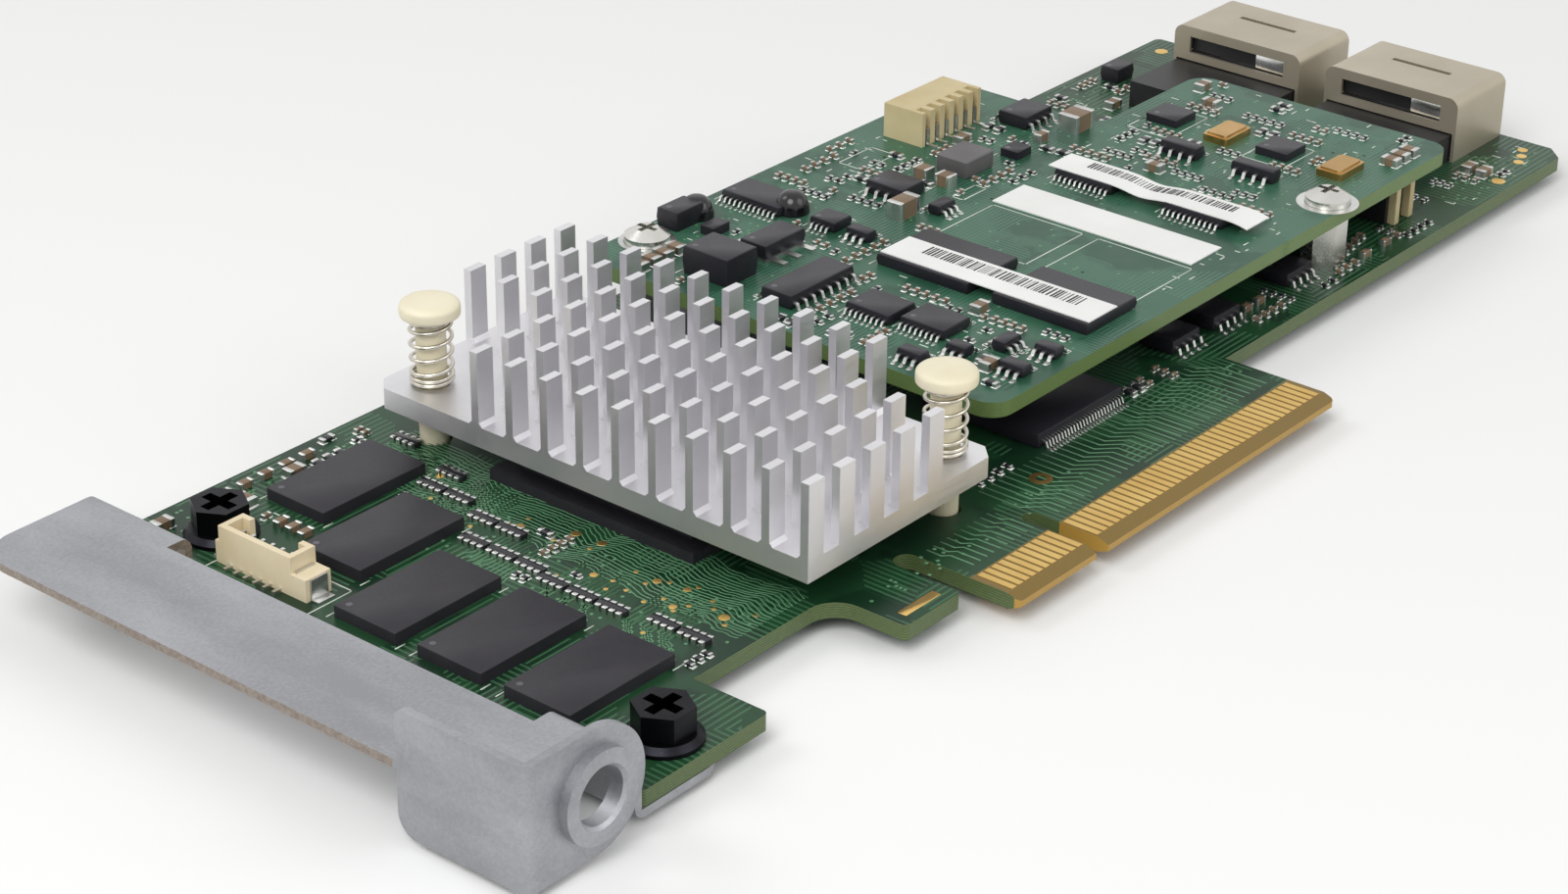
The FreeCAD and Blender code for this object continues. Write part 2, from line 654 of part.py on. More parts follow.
sinkHoles = newSketch(sink, "XY_Plane", sinkBaseTop)
for x, y in PIN_SPOTS:
    drawCircle(sinkHoles, x, y, S.pinHole)
addPocket(sink, sinkHoles, S.sinkBaseThick + past)
keep(sink, "heat_sink")


def pushPin(name, x, y):
    # moulded pin: mushroom head, stem through sink and board, barbed tip
    body = newBody(name)
    half = newSketch(body, "XZ_Plane")
    headLow = sinkBaseTop + S.pinHeadRise
    headTop = headLow + S.pinHeadThick
    tip = underZ - S.pinTail
    barbTop = underZ - S.bracketGap
    edge = S.pinHeadEdge
    drawLoop(half, [
        (0, tip), (S.pinTipRadius, tip), (S.pinBarb, barbTop - S.pinBarbRise),
        (S.pinBarb, barbTop), (S.pinStem, barbTop), (S.pinStem, headLow),
        (S.pinHeadRadius, headLow), (S.pinHeadRadius, headTop - edge),
        (S.pinHeadRadius - edge, headTop), (0, headTop)])
    addTurned(body, half)
    place(body, x, y)
    return body


def pinSpring(name, x, y):
    # compression spring between the ear and the pin's head
    helix = doc.addObject("Part::Helix", name + "Path")
    bind(helix, "Pitch", S.springPitch)
    bind(helix, "Height", S.pinHeadRise - S.springSeat * 2)
    bind(helix, "Radius", S.springRadius)
    section = doc.addObject("Part::RegularPolygon", name + "Wire")
    section.Polygon = 4
    bind(section, "Circumradius", S.springWire)
    section.Placement.Rotation = Rotation(Vector(1, 0, 0), 90)
    place(section, S.springRadius)
    coil = doc.addObject("Part::Sweep", name)
    coil.Sections = [section]
    coil.Spine = (helix, [])
    coil.Solid = True
    coil.Frenet = True
    place(coil, x, y, sinkBaseTop + S.springSeat)
    return coil


keep(group("PushPins", [pushPin("PushPin", x, y) for x, y in PIN_SPOTS]), "push_pins")
keep(group("PinSprings", [pinSpring("PinSpring", x, y) for x, y in PIN_SPOTS]),
     "pin_springs")

# --------------------------------------------------------------- wire header
# Open at its back but for two posts, with a step at each end that holds a tab.
headLeft = left + S.headInset
headRight = headLeft + S.headDepth
headY = screwFarY - S.headScrewGap
headFarY = headY + S.headLength
pins = newBody("HeaderPins")
pinY = headY + (S.headLength - S.headPitch * (S.headWays - 1) - S.headPinSide) / 2
pinLine = newSketch(pins, "XZ_Plane", -pinY)
pinX = headLeft + S.headDepth / 2
pinTop = boardZ + S.headHeight - S.headPinDrop
tailX = headLeft - S.headTailReach
drawLoop(pinLine, [
    (tailX, boardZ), (pinX + S.headPinSide, boardZ), (pinX + S.headPinSide, pinTop),
    (pinX, pinTop), (pinX, boardZ + S.headPinSide), (tailX, boardZ + S.headPinSide)])
addRow(pins, addPad(pins, pinLine, S.headPinSide, True), "Y_Axis", S.headPitch, S.headWays)
header = newBody("WireHeader")
plan = newSketch(header, "XY_Plane", boardZ)
drawBox(plan, headLeft, headY, headRight, headFarY)
addPad(header, plan, S.headHeight)
well = newSketch(header, "XY_Plane", boardZ + S.headHeight)
wellFront = headLeft + S.headWall
wellBack = headRight - S.headWall
wellNear = headY + S.headWall
wellFar = headFarY - S.headWall
drawLoop(well, [
    (wellFront, wellNear), (wellBack, wellNear), (wellBack, wellNear + S.headPost),
    (headRight + past, wellNear + S.headPost), (headRight + past, wellFar - S.headPost),
    (wellBack, wellFar - S.headPost), (wellBack, wellFar), (wellFront, wellFar)])
addPocket(header, well, S.headHeight - S.headFloor)
steps = newSketch(header, "XY_Plane", boardZ)
drawBox(steps, headLeft, headY - S.headStepNear, headRight, headY)
drawBox(steps, headLeft, headFarY, headRight, headFarY + S.headStepFar)
addPad(header, steps, S.headStepHigh)
tabX = headLeft + (S.headDepth - S.headTabLength) / 2
clips = [plainBox("HeaderTab", S.headTabLength, S.headTabThick, S.headTabHeight, tabX, y,
                  boardZ)
         for y in (headY - S.headTabIn - S.headTabThick, headFarY + S.headTabIn)]
keep(cutFrom("WireHeaderCut", header, [pins] + clips), "wire_header")
keep(pins, "wire_header_pins")
keep(group("HeaderTabs", clips), "wire_header_tabs")

# ------------------------------------------------------------ daughter board
daughter = newBody("Daughter")
outline = newSketch(daughter, "XY_Plane", daughterZ)
drawLoop(outline, [
    (S.dbLeft, dbNear), (dbRight, dbNear), (dbRight, dbNarrowFar),
    (dbStepX, dbNarrowFar), (dbStepX, dbFar), (S.dbLeft, dbFar)])
addPad(daughter, outline, S.boardThick)
addRound(daughter, uprightAt([
    (S.dbLeft, dbNear), (dbRight, dbNear), (dbRight, dbNarrowFar),
    (dbStepX, dbNarrowFar), (dbStepX, dbFar), (S.dbLeft, dbFar)]), S.dbRound)
dbHoles = newSketch(daughter, "XY_Plane", topZ)
for x, y in STAND_SPOTS:
    drawCircle(dbHoles, x, y, S.standHole)
addPocket(daughter, dbHoles, S.boardThick + past)
keep(daughter, "daughter_board")


def standoff(name, x, y):
    body = newBody(name)
    hexagon = newSketch(body, "XY_Plane", boardZ)
    drawHexagon(hexagon, S.standFlats)
    addPad(body, hexagon, S.stackGap)
    hole = newSketch(body, "XY_Plane", daughterZ)
    drawCircle(hole, 0, 0, S.standBore)
    addPocket(body, hole, S.panLength)
    place(body, x, y)
    return body


def panScrew(name, x, y):
    body = newBody(name)
    half = newSketch(body, "XZ_Plane")
    tip = topZ - S.panLength
    crown = topZ + S.panHeight
    drawLoop(half, [
        (0, tip), (S.panShank, tip), (S.panShank, topZ), (S.panHead, topZ),
        (S.panHead, topZ + S.panShoulder), (S.panRecess, crown), (0, crown)])
    addTurned(body, half)
    crossRecess(body, crown, S.panRecess, S.panSlot, S.panSlotDepth)
    place(body, x, y)
    return body


keep(group("Standoffs", [standoff("Standoff", x, y) for x, y in STAND_SPOTS]), "standoffs")
keep(group("PanScrews", [panScrew("PanScrew", x, y) for x, y in STAND_SPOTS]),
     "standoff_screws")

# stacking connector between the boards: a plug standing in a socket
stackX = S.dbLeft + S.stackX
stackY = dbNear + S.stackY
keep(plainBox("StackSocket", S.stackDepth, S.stackLength, S.stackLower,
              stackX, stackY, boardZ), "stack_socket")
keep(plainBox("StackPlug", S.stackDepth - S.stackWall * 2, S.stackLength - S.stackWall * 2,
              S.stackGap - S.stackLower, stackX + S.stackWall, stackY + S.stackWall,
              boardZ + S.stackLower), "stack_plug")
pegs = [plainBox("Peg", S.pegSide, S.pegSide, S.stackGap, x, stackY - S.pegSide, boardZ)
        for x in (stackX + S.pegInset,
                  stackX + S.stackDepth - S.pegInset - S.pegSide)]
keep(group("StackPegs", pegs), "stack_pegs")

# ---------------------------------------------------------- mini-SAS sockets
sasTop = boardZ + S.sasHeight
sasRight = S.boardRight - S.sasEdgeGap
sasLeft = sasRight - S.sasReach
sasCoreRight = sasLeft + S.sasCore
sasBodyX = sasLeft - S.sasBodyReach
sasTongueX = sasLeft + S.sasTongueReach
sasNearY = S.boardTop - S.sasFarGap - S.sasWidth - S.sasPitchY


def sasShell(name):
    # plated sheet box: open at the cable side, windowed behind, latch slot on top
    body = newBody(name)
    outer = newSketch(body, "YZ_Plane", sasLeft)
    drawBox(outer, 0, boardZ, S.sasWidth, sasTop)
    addPad(body, outer, S.sasReach)
    addRound(body, lyingAt("y", "z", [(0, sasTop), (S.sasWidth, sasTop)]), S.sasRound)
    hollow = newSketch(body, "YZ_Plane", sasRight + past)
    innerTop = sasTop - S.sasSheet
    innerFar = S.sasWidth - S.sasSheet
    drawBox(hollow, S.sasSheet, boardZ + S.sasSheet, innerFar, innerTop)
    addPocket(body, hollow, S.sasReach + past - S.sasSheet)
    addRound(body, lyingAt("y", "z", [(S.sasSheet, innerTop), (innerFar, innerTop)]),
             S.sasRound - S.sasSheet)
    window = newSketch(body, "YZ_Plane", sasLeft + S.sasSheet * 2)
    drawBox(window, S.sasWindowEdge, boardZ + S.sasWindowH,
            S.sasWidth - S.sasWindowEdge, sasTop - S.sasWindowTop)
    drawBox(window, S.sasSheet, boardZ - past, innerFar,
            boardZ + S.sasBodyHeight + S.sasClear)
    addPocket(body, window, S.sasSheet * 2 + past)
    latch = newSketch(body, "XY_Plane", sasTop + past)
    latchX = sasRight - S.sasSlotBack
    drawBox(latch, latchX, (S.sasWidth - S.sasSlotWidth) / 2,
            latchX + S.sasSlotLength, (S.sasWidth + S.sasSlotWidth) / 2)
    addPocket(body, latch, S.sasSheet + past)
    return body


def sasHousing(name):
    # black moulding: low block behind the shell, a core and tongue inside it
    body = newBody(name)
    inset = S.sasSheet + S.sasClear
    blockTop = boardZ + S.sasBodyHeight
    floorZ = boardZ + S.sasSheet + S.sasClear
    side = newSketch(body, "XZ_Plane", -inset)
    drawLoop(side, [
        (sasBodyX, boardZ), (sasLeft - S.sasClear, boardZ),
        (sasLeft - S.sasClear, floorZ), (sasCoreRight, floorZ),
        (sasCoreRight, blockTop), (sasBodyX, blockTop)])
    addPad(body, side, S.sasWidth - inset * 2, True)
    tongueIn = inset + S.sasTongueInset
    tongue = newSketch(body, "XZ_Plane", -tongueIn)
    tongueTop = boardZ + S.sasTongueH
    tongueLow = tongueTop - S.sasTongueThick
    rootX = sasLeft + S.sasSheet + S.sasClear
    drawLoop(tongue, [
        (rootX, floorZ), (sasCoreRight, floorZ), (sasCoreRight, tongueLow),
        (sasTongueX, tongueLow), (sasTongueX, tongueTop), (rootX, tongueTop)])
    addPad(body, tongue, S.sasWidth - tongueIn * 2, True)
    return body


def sasContacts(name):
    # contacts on both faces of the tongue, and the solder tails behind
    firstY = (S.sasWidth - S.sasPitch * (S.sasWays - 1) - S.sasContact) / 2
    tongueTop = boardZ + S.sasTongueH
    underTongue = tongueTop - S.sasTongueThick - S.contactThick
    start = sasCoreRight + S.sasClear
    rows = []
    for level, x0, x1, thick in (
            (tongueTop, start, sasTongueX - S.sasSheet, S.contactThick),
            (underTongue, start, sasTongueX - S.sasSheet, S.contactThick),
            (boardZ, sasBodyX - S.sasTail, sasBodyX, S.sasTailThick)):
        body = newBody(name)
        strip = newSketch(body, "XY_Plane", level)
        drawBox(strip, x0, firstY, x1, firstY + S.sasContact)
        addRow(body, addPad(body, strip, thick), "Y_Axis", S.sasPitch, S.sasWays)
        rows.append(body)
    return group(name + "All", rows)


for number in (1, 2):
    y = sasNearY + S.sasPitchY * (number - 1)
    for part, label in ((sasShell("SasShell"), "sas_shell_%d"),
                        (sasHousing("SasHousing"), "sas_housing_%d"),
                        (sasContacts("SasContacts"), "sas_contacts_%d")):
        place(part, 0, y)
        keep(part, label % number)

# ------------------------------------------------------------- leaded chips
RUNS = {
    "so": (S.soWays, S.soPitch, S.soLead), "wide": (S.wideWays, S.soPitch, S.soLead),
    "short": (S.shortWays, S.finePitch, S.fineLead),
    "bus": (S.busWays, S.finePitch, S.fineLead),
    "port": (S.portWays, S.finePitch, S.fineLead),
    "mini": (S.miniWays, S.finePitch, S.fineLead),
    "small": (S.smallWays, S.smallPitch, S.soLead),
    "quad": (S.quadWays, S.quadPitch, S.quadLead),
}


def leadRow(name, x, y, z, run, turn, rise):
    # one row of leads: a foot and riser up against the body, or, where they are
    # fine, a slope from the board to the body
    count, pitch, width = run
    body = newBody(name)
    side = newSketch(body, "XZ_Plane")
    reach, thick = S.leadReach, S.leadThick
    if width.value < S.soLead.value:
        drawLoop(side, [(-reach, 0), (thick * 2 - reach, 0), (0, rise - thick), (0, rise)])
    else:
        drawLoop(side, [(-reach, 0), (0, 0), (0, rise), (-thick, rise), (-thick, thick),
                        (-reach, thick)])
    addRow(body, addPad(body, side, width, True), "Y_Axis", pitch, count)
    body.Placement.Rotation = Rotation(Vector(0, 0, 1), turn)
    place(body, x, y, z)
    return body


def leadRows(name, chip, run, sides, z):
    # rows on the named sides of a chip given as middle and size
    midX, midY, dx, dy, dz = chip
    count, pitch, width = run
    half = (pitch * (count - 1) + width) / 2
    rise = S.chipGap + dz / 2
    starts = {
        "W": (midX - dx / 2, midY - half, 0), "E": (midX + dx / 2, midY + half, 180),
        "S": (midX + half, midY - dy / 2, 90), "N": (midX - half, midY + dy / 2, 270),
    }
    rows = []
    for side in sides:
        x, y, turn = starts[side]
        rows.append(leadRow(name, x, y, z, run, turn, rise))
    return rows


def onBoard(prefix, values, board):
    # a small part's middle and size, with its place counted from the board's corner
    sizes = tabled(prefix, values)
    cornerX, cornerY, level = board
    return [sizes[0] + cornerX, sizes[1] + cornerY] + sizes[2:]


def chipFamily(label, board, entries):
    # chips of one kind: their bodies make one node, their leads another
    name = label.title().replace("_", "")
    level = board[2]
    bodies = []
    rows = []
    for number, entry in enumerate(entries, 1):
        chip = onBoard("%s%d" % (name, number), entry[:5], board)
        midX, midY, dx, dy, dz = chip
        bodies.append(plainBox(name, dx, dy, dz, midX - dx / 2, midY - dy / 2,
                               level + S.chipGap))
        rows.extend(leadRows(name + "Lead", chip, RUNS[entry[5]], entry[6], level))
    keep(bodies[0] if len(bodies) == 1 else group(name + "All", bodies), label)
    keep(rows[0] if len(rows) == 1 else group(name + "Leads", rows), label + "_leads")
    return bodies


# each entry: middle X, middle Y, length along X, length along Y, height, leads, sides
chipFamily("lower_chips", MAIN, [
    (39.0, 19.0, 4.9, 3.9, 1.45, "so", "SN"), (46.4, 19.0, 4.9, 3.9, 1.45, "so", "SN"),
    (60.3, 19.0, 4.9, 3.9, 1.45, "so", "SN")])
chipFamily("quad_chip", MAIN, [(18.2, 22.3, 14.0, 14.0, 1.4, "quad", "S")])
chipFamily("so_chips", STACK, [
    (33.5, 38.1, 3.9, 4.9, 1.45, "so", "WE"), (59.0, 39.8, 4.9, 3.9, 1.45, "so", "SN"),
    (8.7, 29.7, 9.9, 3.9, 1.45, "wide", "SN")])
fineBodies = chipFamily("fine_chips", STACK, [
    (9.3, 21.0, 4.4, 5.4, 1.05, "short", "WE"), (10.1, 14.9, 4.4, 5.4, 1.05, "short", "WE"),
    (50.0, 24.1, 4.4, 7.4, 1.05, "bus", "WE"), (50.0, 10.3, 4.4, 7.4, 1.05, "bus", "WE"),
    (22.5, 37.9, 3.0, 3.3, 1.05, "mini", "WE"), (22.5, 47.0, 4.4, 7.8, 1.05, "port", "WE")])
chipFamily("small_chips", STACK, [
    (3.0, 12.1, 1.6, 2.9, 1.05, "small", "WE"), (6.9, 9.5, 1.6, 2.4, 1.05, "small", "WE"),
    (11.0, 7.0, 2.9, 1.6, 1.05, "small", "SN"), (12.3, 2.9, 1.6, 2.6, 1.05, "small", "WE"),
    (7.1, 3.1, 1.6, 2.9, 1.05, "small", "WE"), (22.0, 33.5, 1.6, 2.9, 1.05, "small", "WE"),
    (62.2, 21.1, 1.8, 4.7, 1.4, "so", "WE"), (62.2, 11.7, 1.8, 5.3, 1.4, "so", "WE"),
    (32.9, 31.5, 2.9, 1.6, 1.05, "small", "SN")])


def blocks(label, board, entries):
    # plain moulded or ceramic blocks, given as middle and size
    name = label.title().replace("_", "")
    made = []
    for number, entry in enumerate(entries, 1):
        midX, midY, dx, dy, dz = onBoard("%s%d" % (name, number), entry, board)
        made.append(plainBox(name, dx, dy, dz, midX - dx / 2, midY - dy / 2, board[2]))
    keep(made[0] if len(made) == 1 else group(name + "All", made), label)
    return made


flashBlocks = blocks("flash_chip_1", STACK, [(22.3, 22.7, 8.6, 11.5, 1.2)])
blocks("flash_chip_2", STACK, [(22.3, 8.3, 8.6, 11.5, 1.2)])
blocks("flat_chips", STACK, [
    (70.0, 27.8, 4.0, 4.0, 0.9), (69.8, 13.4, 4.0, 4.0, 0.9), (50.5, 34.8, 2.6, 2.3, 0.9),
    (57.1, 46.1, 1.4, 1.4, 0.8), (13.5, 45.9, 2.6, 1.8, 1.0)])
blocks("crystals", STACK, [(69.8, 20.3, 5.0, 3.2, 1.0), (69.5, 5.7, 5.0, 3.2, 1.0)])
blocks("power_block", STACK, [(6.0, 38.8, 4.8, 5.9, 3.0)])
blocks("inductor", STACK, [(43.7, 36.6, 4.9, 4.1, 2.0)])
blocks("small_block", (0, S.boardTop, boardZ), [(96.0, -3.9, 3.4, 2.6, 1.8)])
blocks("chip_capacitors", STACK, [
    (29.5, 33.9, 3.4, 1.9, 2.0), (61.0, 34.3, 3.5, 2.5, 2.0), (55.5, 35.0, 1.8, 1.0, 1.0),
    (38.9, 38.5, 1.6, 1.9, 1.3), (38.9, 35.5, 1.6, 1.9, 1.3)])

# paper labels: one on the board, and two stuck across the two chips below them
flashTop = sheetSize("flashTop", 1.2)
busTop = sheetSize("busTop", 1.15)
for number, (label, lift, values) in enumerate((
        ("blank_label", 0, (41.3, 16.6, 5.6, 24.9)),
        ("lower_label", flashTop, (20.9, 15.5, 4.8, 25.6)),
        ("upper_label", busTop, (50.1, 16.2, 4.2, 25.0))), 1):
    midX, midY, dx, dy = onBoard("Label%d" % number, values, STACK)
    keep(plainBox("Label", dx, dy, S.labelThick, midX - dx / 2, midY - dy / 2,
                  topZ + lift), label)

# ---------------------------------------------------- transistor, diode, glue
# The transistor's frame lies on the board: a tab behind the body, legs before it.
powerX = S.dbLeft + S.powerInX
powerY = dbNear + S.powerInY
tab = newBody("PowerTab")
tabPlan = newSketch(tab, "XY_Plane", topZ)
tabSide = (S.powerLength - S.powerTabWide) / 2
powerRight = powerX + S.powerLength
bodyFarY = powerY + S.powerDepth
tabFarY = bodyFarY + S.powerTabReach
drawLoop(tabPlan, [
    (powerX, powerY), (powerRight, powerY), (powerRight, bodyFarY),
    (powerRight - tabSide, bodyFarY), (powerRight - tabSide, tabFarY),
    (powerX + tabSide, tabFarY), (powerX + tabSide, bodyFarY), (powerX, bodyFarY)])
addPad(tab, tabPlan, S.powerTabThick)
legX = powerX + (S.powerLength - S.powerLegPitch * (S.powerLegs - 1)
                 - S.powerLegWidth) / 2
legs = newBody("PowerLegs")
leg = newSketch(legs, "XY_Plane", topZ)
drawBox(leg, legX, powerY - S.powerLegReach, legX + S.powerLegWidth, powerY)
addRow(legs, addPad(legs, leg, S.powerTabThick), "X_Axis", S.powerLegPitch, S.powerLegs)
keep(group("PowerFrame", [tab, legs]), "transistor_leads")
keep(plainBox("PowerBody", S.powerLength, S.powerDepth, S.powerHeight - S.powerTabThick,
              powerX, powerY, topZ + S.powerTabThick), "transistor")
diodeX = S.dbLeft + S.diodeInX
diodeY = dbNear + S.diodeInY
diode = plainBox("Diode", S.diodeLength, S.diodeWidth, S.diodeHeight, diodeX, diodeY, topZ)
keep(diode, "diode")


def glueDrop(name, x, y):
    # a cured drop, flat where it meets the board
    drop = newBody(name)
    half = newSketch(drop, "XZ_Plane")
    crown = topZ + S.glueHigh
    drawLoop(half, [(0, topZ), (S.glueRadius, topZ),
                    (S.glueShoulder, topZ + S.glueShoulderH), (S.glueCrown, crown),
                    (0, crown)])
    addTurned(drop, half)
    place(drop, x, y)
    return drop


# each drop laps over the end of a part, which leaves its shape in it
portChip = fineBodies[-1]
portSizes = [sheetSize("gluedX", 22.8), sheetSize("gluedY", 43.1)]
overDiode = glueDrop("GlueOverDiode", diodeX + S.diodeLength + S.glueLapX,
                     diodeY + S.diodeWidth / 2)
overChip = glueDrop("GlueOverChip", S.dbLeft + portSizes[0],
                    dbNear + portSizes[1] + S.glueLapY)
glue = [cutFrom("GlueAtDiode", overDiode, [diode]),
        cutFrom("GlueAtChip", overChip, [portChip])]
keep(group("GlueDrops", glue), "glue_drops")

# ------------------------------------------------------- right-angle header
sideX = S.dbLeft + S.sideInX
sideY = dbNear + S.sideInY
sideTop = topZ + S.sideHeight
sideHead = newBody("SideHeader")
block = newSketch(sideHead, "XY_Plane", topZ)
drawBox(block, sideX, sideY, sideX + S.sideLength, sideY + S.sideDepth)
addPad(sideHead, block, S.sideHeight)
sideRun = S.sidePitch * (S.sideWays - 1)
slotX = sideX + (S.sideLength - sideRun - S.sideSlot) / 2
slots = newSketch(sideHead, "XY_Plane", sideTop + past)
drawBox(slots, slotX, sideY - past, slotX + S.sideSlot, sideY + S.sideSlotDeep)
oneSlot = addPocket(sideHead, slots, S.sideHeight + past * 2)
addRow(sideHead, oneSlot, "X_Axis", S.sidePitch, S.sideWays)
mouth = newSketch(sideHead, "XZ_Plane", -(sideY + S.sideDepth + past))
drawBox(mouth, sideX + S.sideWall, topZ + S.sideWall,
        sideX + S.sideLength - S.sideWall, sideTop - S.sideWall)
addPocket(sideHead, mouth, S.sideMouth + past, True)
keep(sideHead, "side_header")
sidePins = newBody("SidePins")
sidePin = newSketch(sidePins, "YZ_Plane", slotX + (S.sideSlot - S.sidePin) / 2)
pinWall = sideY + S.sideSlotDeep
pinHigh = topZ + S.sideHeight / 2
drawLoop(sidePin, [
    (sideY - S.sideTail, topZ), (sideY + S.sidePin, topZ),
    (sideY + S.sidePin, pinHigh - S.sidePin), (pinWall, pinHigh - S.sidePin),
    (pinWall, pinHigh), (sideY, pinHigh), (sideY, topZ + S.leadThick),
    (sideY - S.sideTail, topZ + S.leadThick)])
addRow(sidePins, addPad(sidePins, sidePin, S.sidePin), "X_Axis", S.sidePitch, S.sideWays)
keep(sidePins, "side_header_pins")

# --------------------------------------------- small parts on the main board
# resistor arrays stand beside the memory rows: place behind the board's end, and
# rows up from the first chip
arrays = []
for number, (inset, rows) in enumerate((
        (30.55, 4.584), (28.55, 3.792), (25.65, 3.406), (24.15, 2.96), (20.55, 2.386),
        (19.75, 1.356), (20.75, 0.505)), 1):
    midX, midY = tabled("Array%d" % number, (inset, rows))
    arrays.append(plainBox("Array", S.arrayWide, S.arrayLong, S.arrayHigh,
                           left + midX - S.arrayWide / 2,
                           S.dramFirstY + dramPitch * midY - S.arrayLong / 2, boardZ))
keep(group("ResistorArrays", arrays), "resistor_arrays")
# chip parts: those by the bracket from the board's far corner, the rest from the origin
smalls = []
for number, (cornerX, cornerY, x, y) in enumerate((
        (left, S.boardTop, 11.95, -2.4), (left, S.boardTop, 14.55, -2.4),
        (left, S.boardTop, 17.15, -2.4), (left, S.boardTop, 19.75, -2.4),
        (left, S.boardTop, 22.35, -2.4), (left, S.boardTop, 11.75, -10.3),
        (left, S.boardTop, 11.75, -11.9), (left, S.boardTop, 11.75, -13.5),
        (0, 0, 50.6, 17.4), (0, 0, 53.0, 17.4), (0, 0, 70.4, 15.2), (0, 0, 74.5, 15.2)), 1):
    midX, midY = tabled("Small%d" % number, (x, y))
    smalls.append(plainBox("Small", S.passiveLong, S.passiveWide, S.passiveHigh,
                           midX + cornerX - S.passiveLong / 2,
                           midY + cornerY - S.passiveWide / 2, boardZ))
keep(group("SmallParts", smalls), "small_parts")

# ------------------------------------------------------------------- writing
doc.recompute()
for item in doc.Objects:
    if "Invalid" in item.State or "Error" in item.State:
        raise RuntimeError("%s (%s) is %s" % (item.Name, item.Label, item.State))
if len({node.Label for node in nodes}) != len(nodes):
    raise RuntimeError("two nodes share a label")
os.makedirs("parts", exist_ok=True)
for node in nodes:
    shape = node.Shape
    if shape.isNull() or not shape.isValid() or not shape.Solids:
        raise RuntimeError("bad shape in " + node.Label)
    shape.exportStep("parts/%s.step" % node.Label)
    box = shape.BoundBox
    print("%-22s %3d  X %7.2f %7.2f  Y %6.2f %6.2f  Z %6.2f %6.2f" % (
        node.Label, len(shape.Solids), box.XMin, box.XMax, box.YMin, box.YMax,
        box.ZMin, box.ZMax))
print("wrote %d parts" % len(nodes))
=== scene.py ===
import math
import bpy
import numpy as np
from mathutils import Matrix, Vector


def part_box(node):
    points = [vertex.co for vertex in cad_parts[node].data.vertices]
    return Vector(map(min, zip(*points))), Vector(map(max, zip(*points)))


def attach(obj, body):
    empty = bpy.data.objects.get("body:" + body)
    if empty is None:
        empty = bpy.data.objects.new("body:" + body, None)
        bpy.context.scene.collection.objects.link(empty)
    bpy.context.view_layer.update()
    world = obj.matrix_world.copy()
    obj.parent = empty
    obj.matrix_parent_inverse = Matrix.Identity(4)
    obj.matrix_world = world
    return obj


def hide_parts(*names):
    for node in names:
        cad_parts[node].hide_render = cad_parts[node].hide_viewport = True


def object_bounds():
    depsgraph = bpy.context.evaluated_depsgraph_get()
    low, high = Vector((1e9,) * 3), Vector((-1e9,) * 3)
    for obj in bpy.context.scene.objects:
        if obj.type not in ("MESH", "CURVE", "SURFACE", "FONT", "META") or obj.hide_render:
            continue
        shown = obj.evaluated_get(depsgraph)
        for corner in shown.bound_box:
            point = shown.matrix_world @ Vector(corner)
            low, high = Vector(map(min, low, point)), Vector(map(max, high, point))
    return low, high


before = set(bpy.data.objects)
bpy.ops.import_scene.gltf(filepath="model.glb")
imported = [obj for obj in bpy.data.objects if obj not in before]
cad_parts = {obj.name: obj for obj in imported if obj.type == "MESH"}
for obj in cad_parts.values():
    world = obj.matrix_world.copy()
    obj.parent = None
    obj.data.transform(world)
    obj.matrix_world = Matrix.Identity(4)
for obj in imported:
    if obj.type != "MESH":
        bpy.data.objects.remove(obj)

cadLow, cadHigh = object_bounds()
mm = 0.001
rng = np.random.default_rng(7)


# colour and node helpers
def toLinear(code):
    # sRGB hex to linear red, green, blue, alpha
    parts = [int(code[k:k + 2], 16) / 255 for k in (1, 3, 5)]
    return tuple(((c + 0.055) / 1.055) ** 2.4 if c > 0.04045 else c / 12.92 for c in parts) + (1.0,)


def addNode(tree, kind, settings=None, **links):
    # one node with its settings and inputs; an input given a socket is linked
    node = tree.nodes.new(kind)
    for key, value in (settings or {}).items():
        setattr(node, key, value)
    for key, value in links.items():
        numbered = key[0] == "i" and key[1:].isdigit()  # i0, i1 and so on name an input by number
        socket = node.inputs[int(key[1:]) if numbered else key.replace("_", " ")]
        if isinstance(value, bpy.types.NodeSocket):
            tree.links.new(value, socket)
        else:
            socket.default_value = value
    return node


def newMaterial(name, base, roughness, metallic=0.0):
    # a principled surface; returns the material, its tree, shader and place socket
    material = bpy.data.materials.new(name)
    material.use_nodes = True
    tree = material.node_tree
    shader = tree.nodes["Principled BSDF"]
    shader.inputs["Base Color"].default_value = toLinear(base)
    shader.inputs["Roughness"].default_value = roughness
    shader.inputs["Metallic"].default_value = metallic
    place = addNode(tree, "ShaderNodeTexCoord").outputs["Object"]
    return material, tree, shader, place


def stretched(tree, place, scale):
    # the place scaled along each axis, so a pattern can be drawn out
    return addNode(tree, "ShaderNodeMapping", None, Vector=place, Scale=scale).outputs["Vector"]


def noiseAt(tree, place, sizeMm, detail=3.0, rough=0.55):
    # noise whose features measure about sizeMm
    return addNode(tree, "ShaderNodeTexNoise", None, Vector=place, Scale=1 / (sizeMm * mm),
                   Detail=detail, Roughness=rough).outputs["Fac"]


def tinted(tree, factor, low, high, start=0.3, stop=0.7):
    # two colours blended by a factor between start and stop
    ramp = addNode(tree, "ShaderNodeValToRGB", None, Fac=factor)
    ramp.color_ramp.elements[0].position = start
    ramp.color_ramp.elements[1].position = stop
    ramp.color_ramp.elements[0].color = toLinear(low)
    ramp.color_ramp.elements[1].color = toLinear(high)
    return ramp.outputs["Color"]


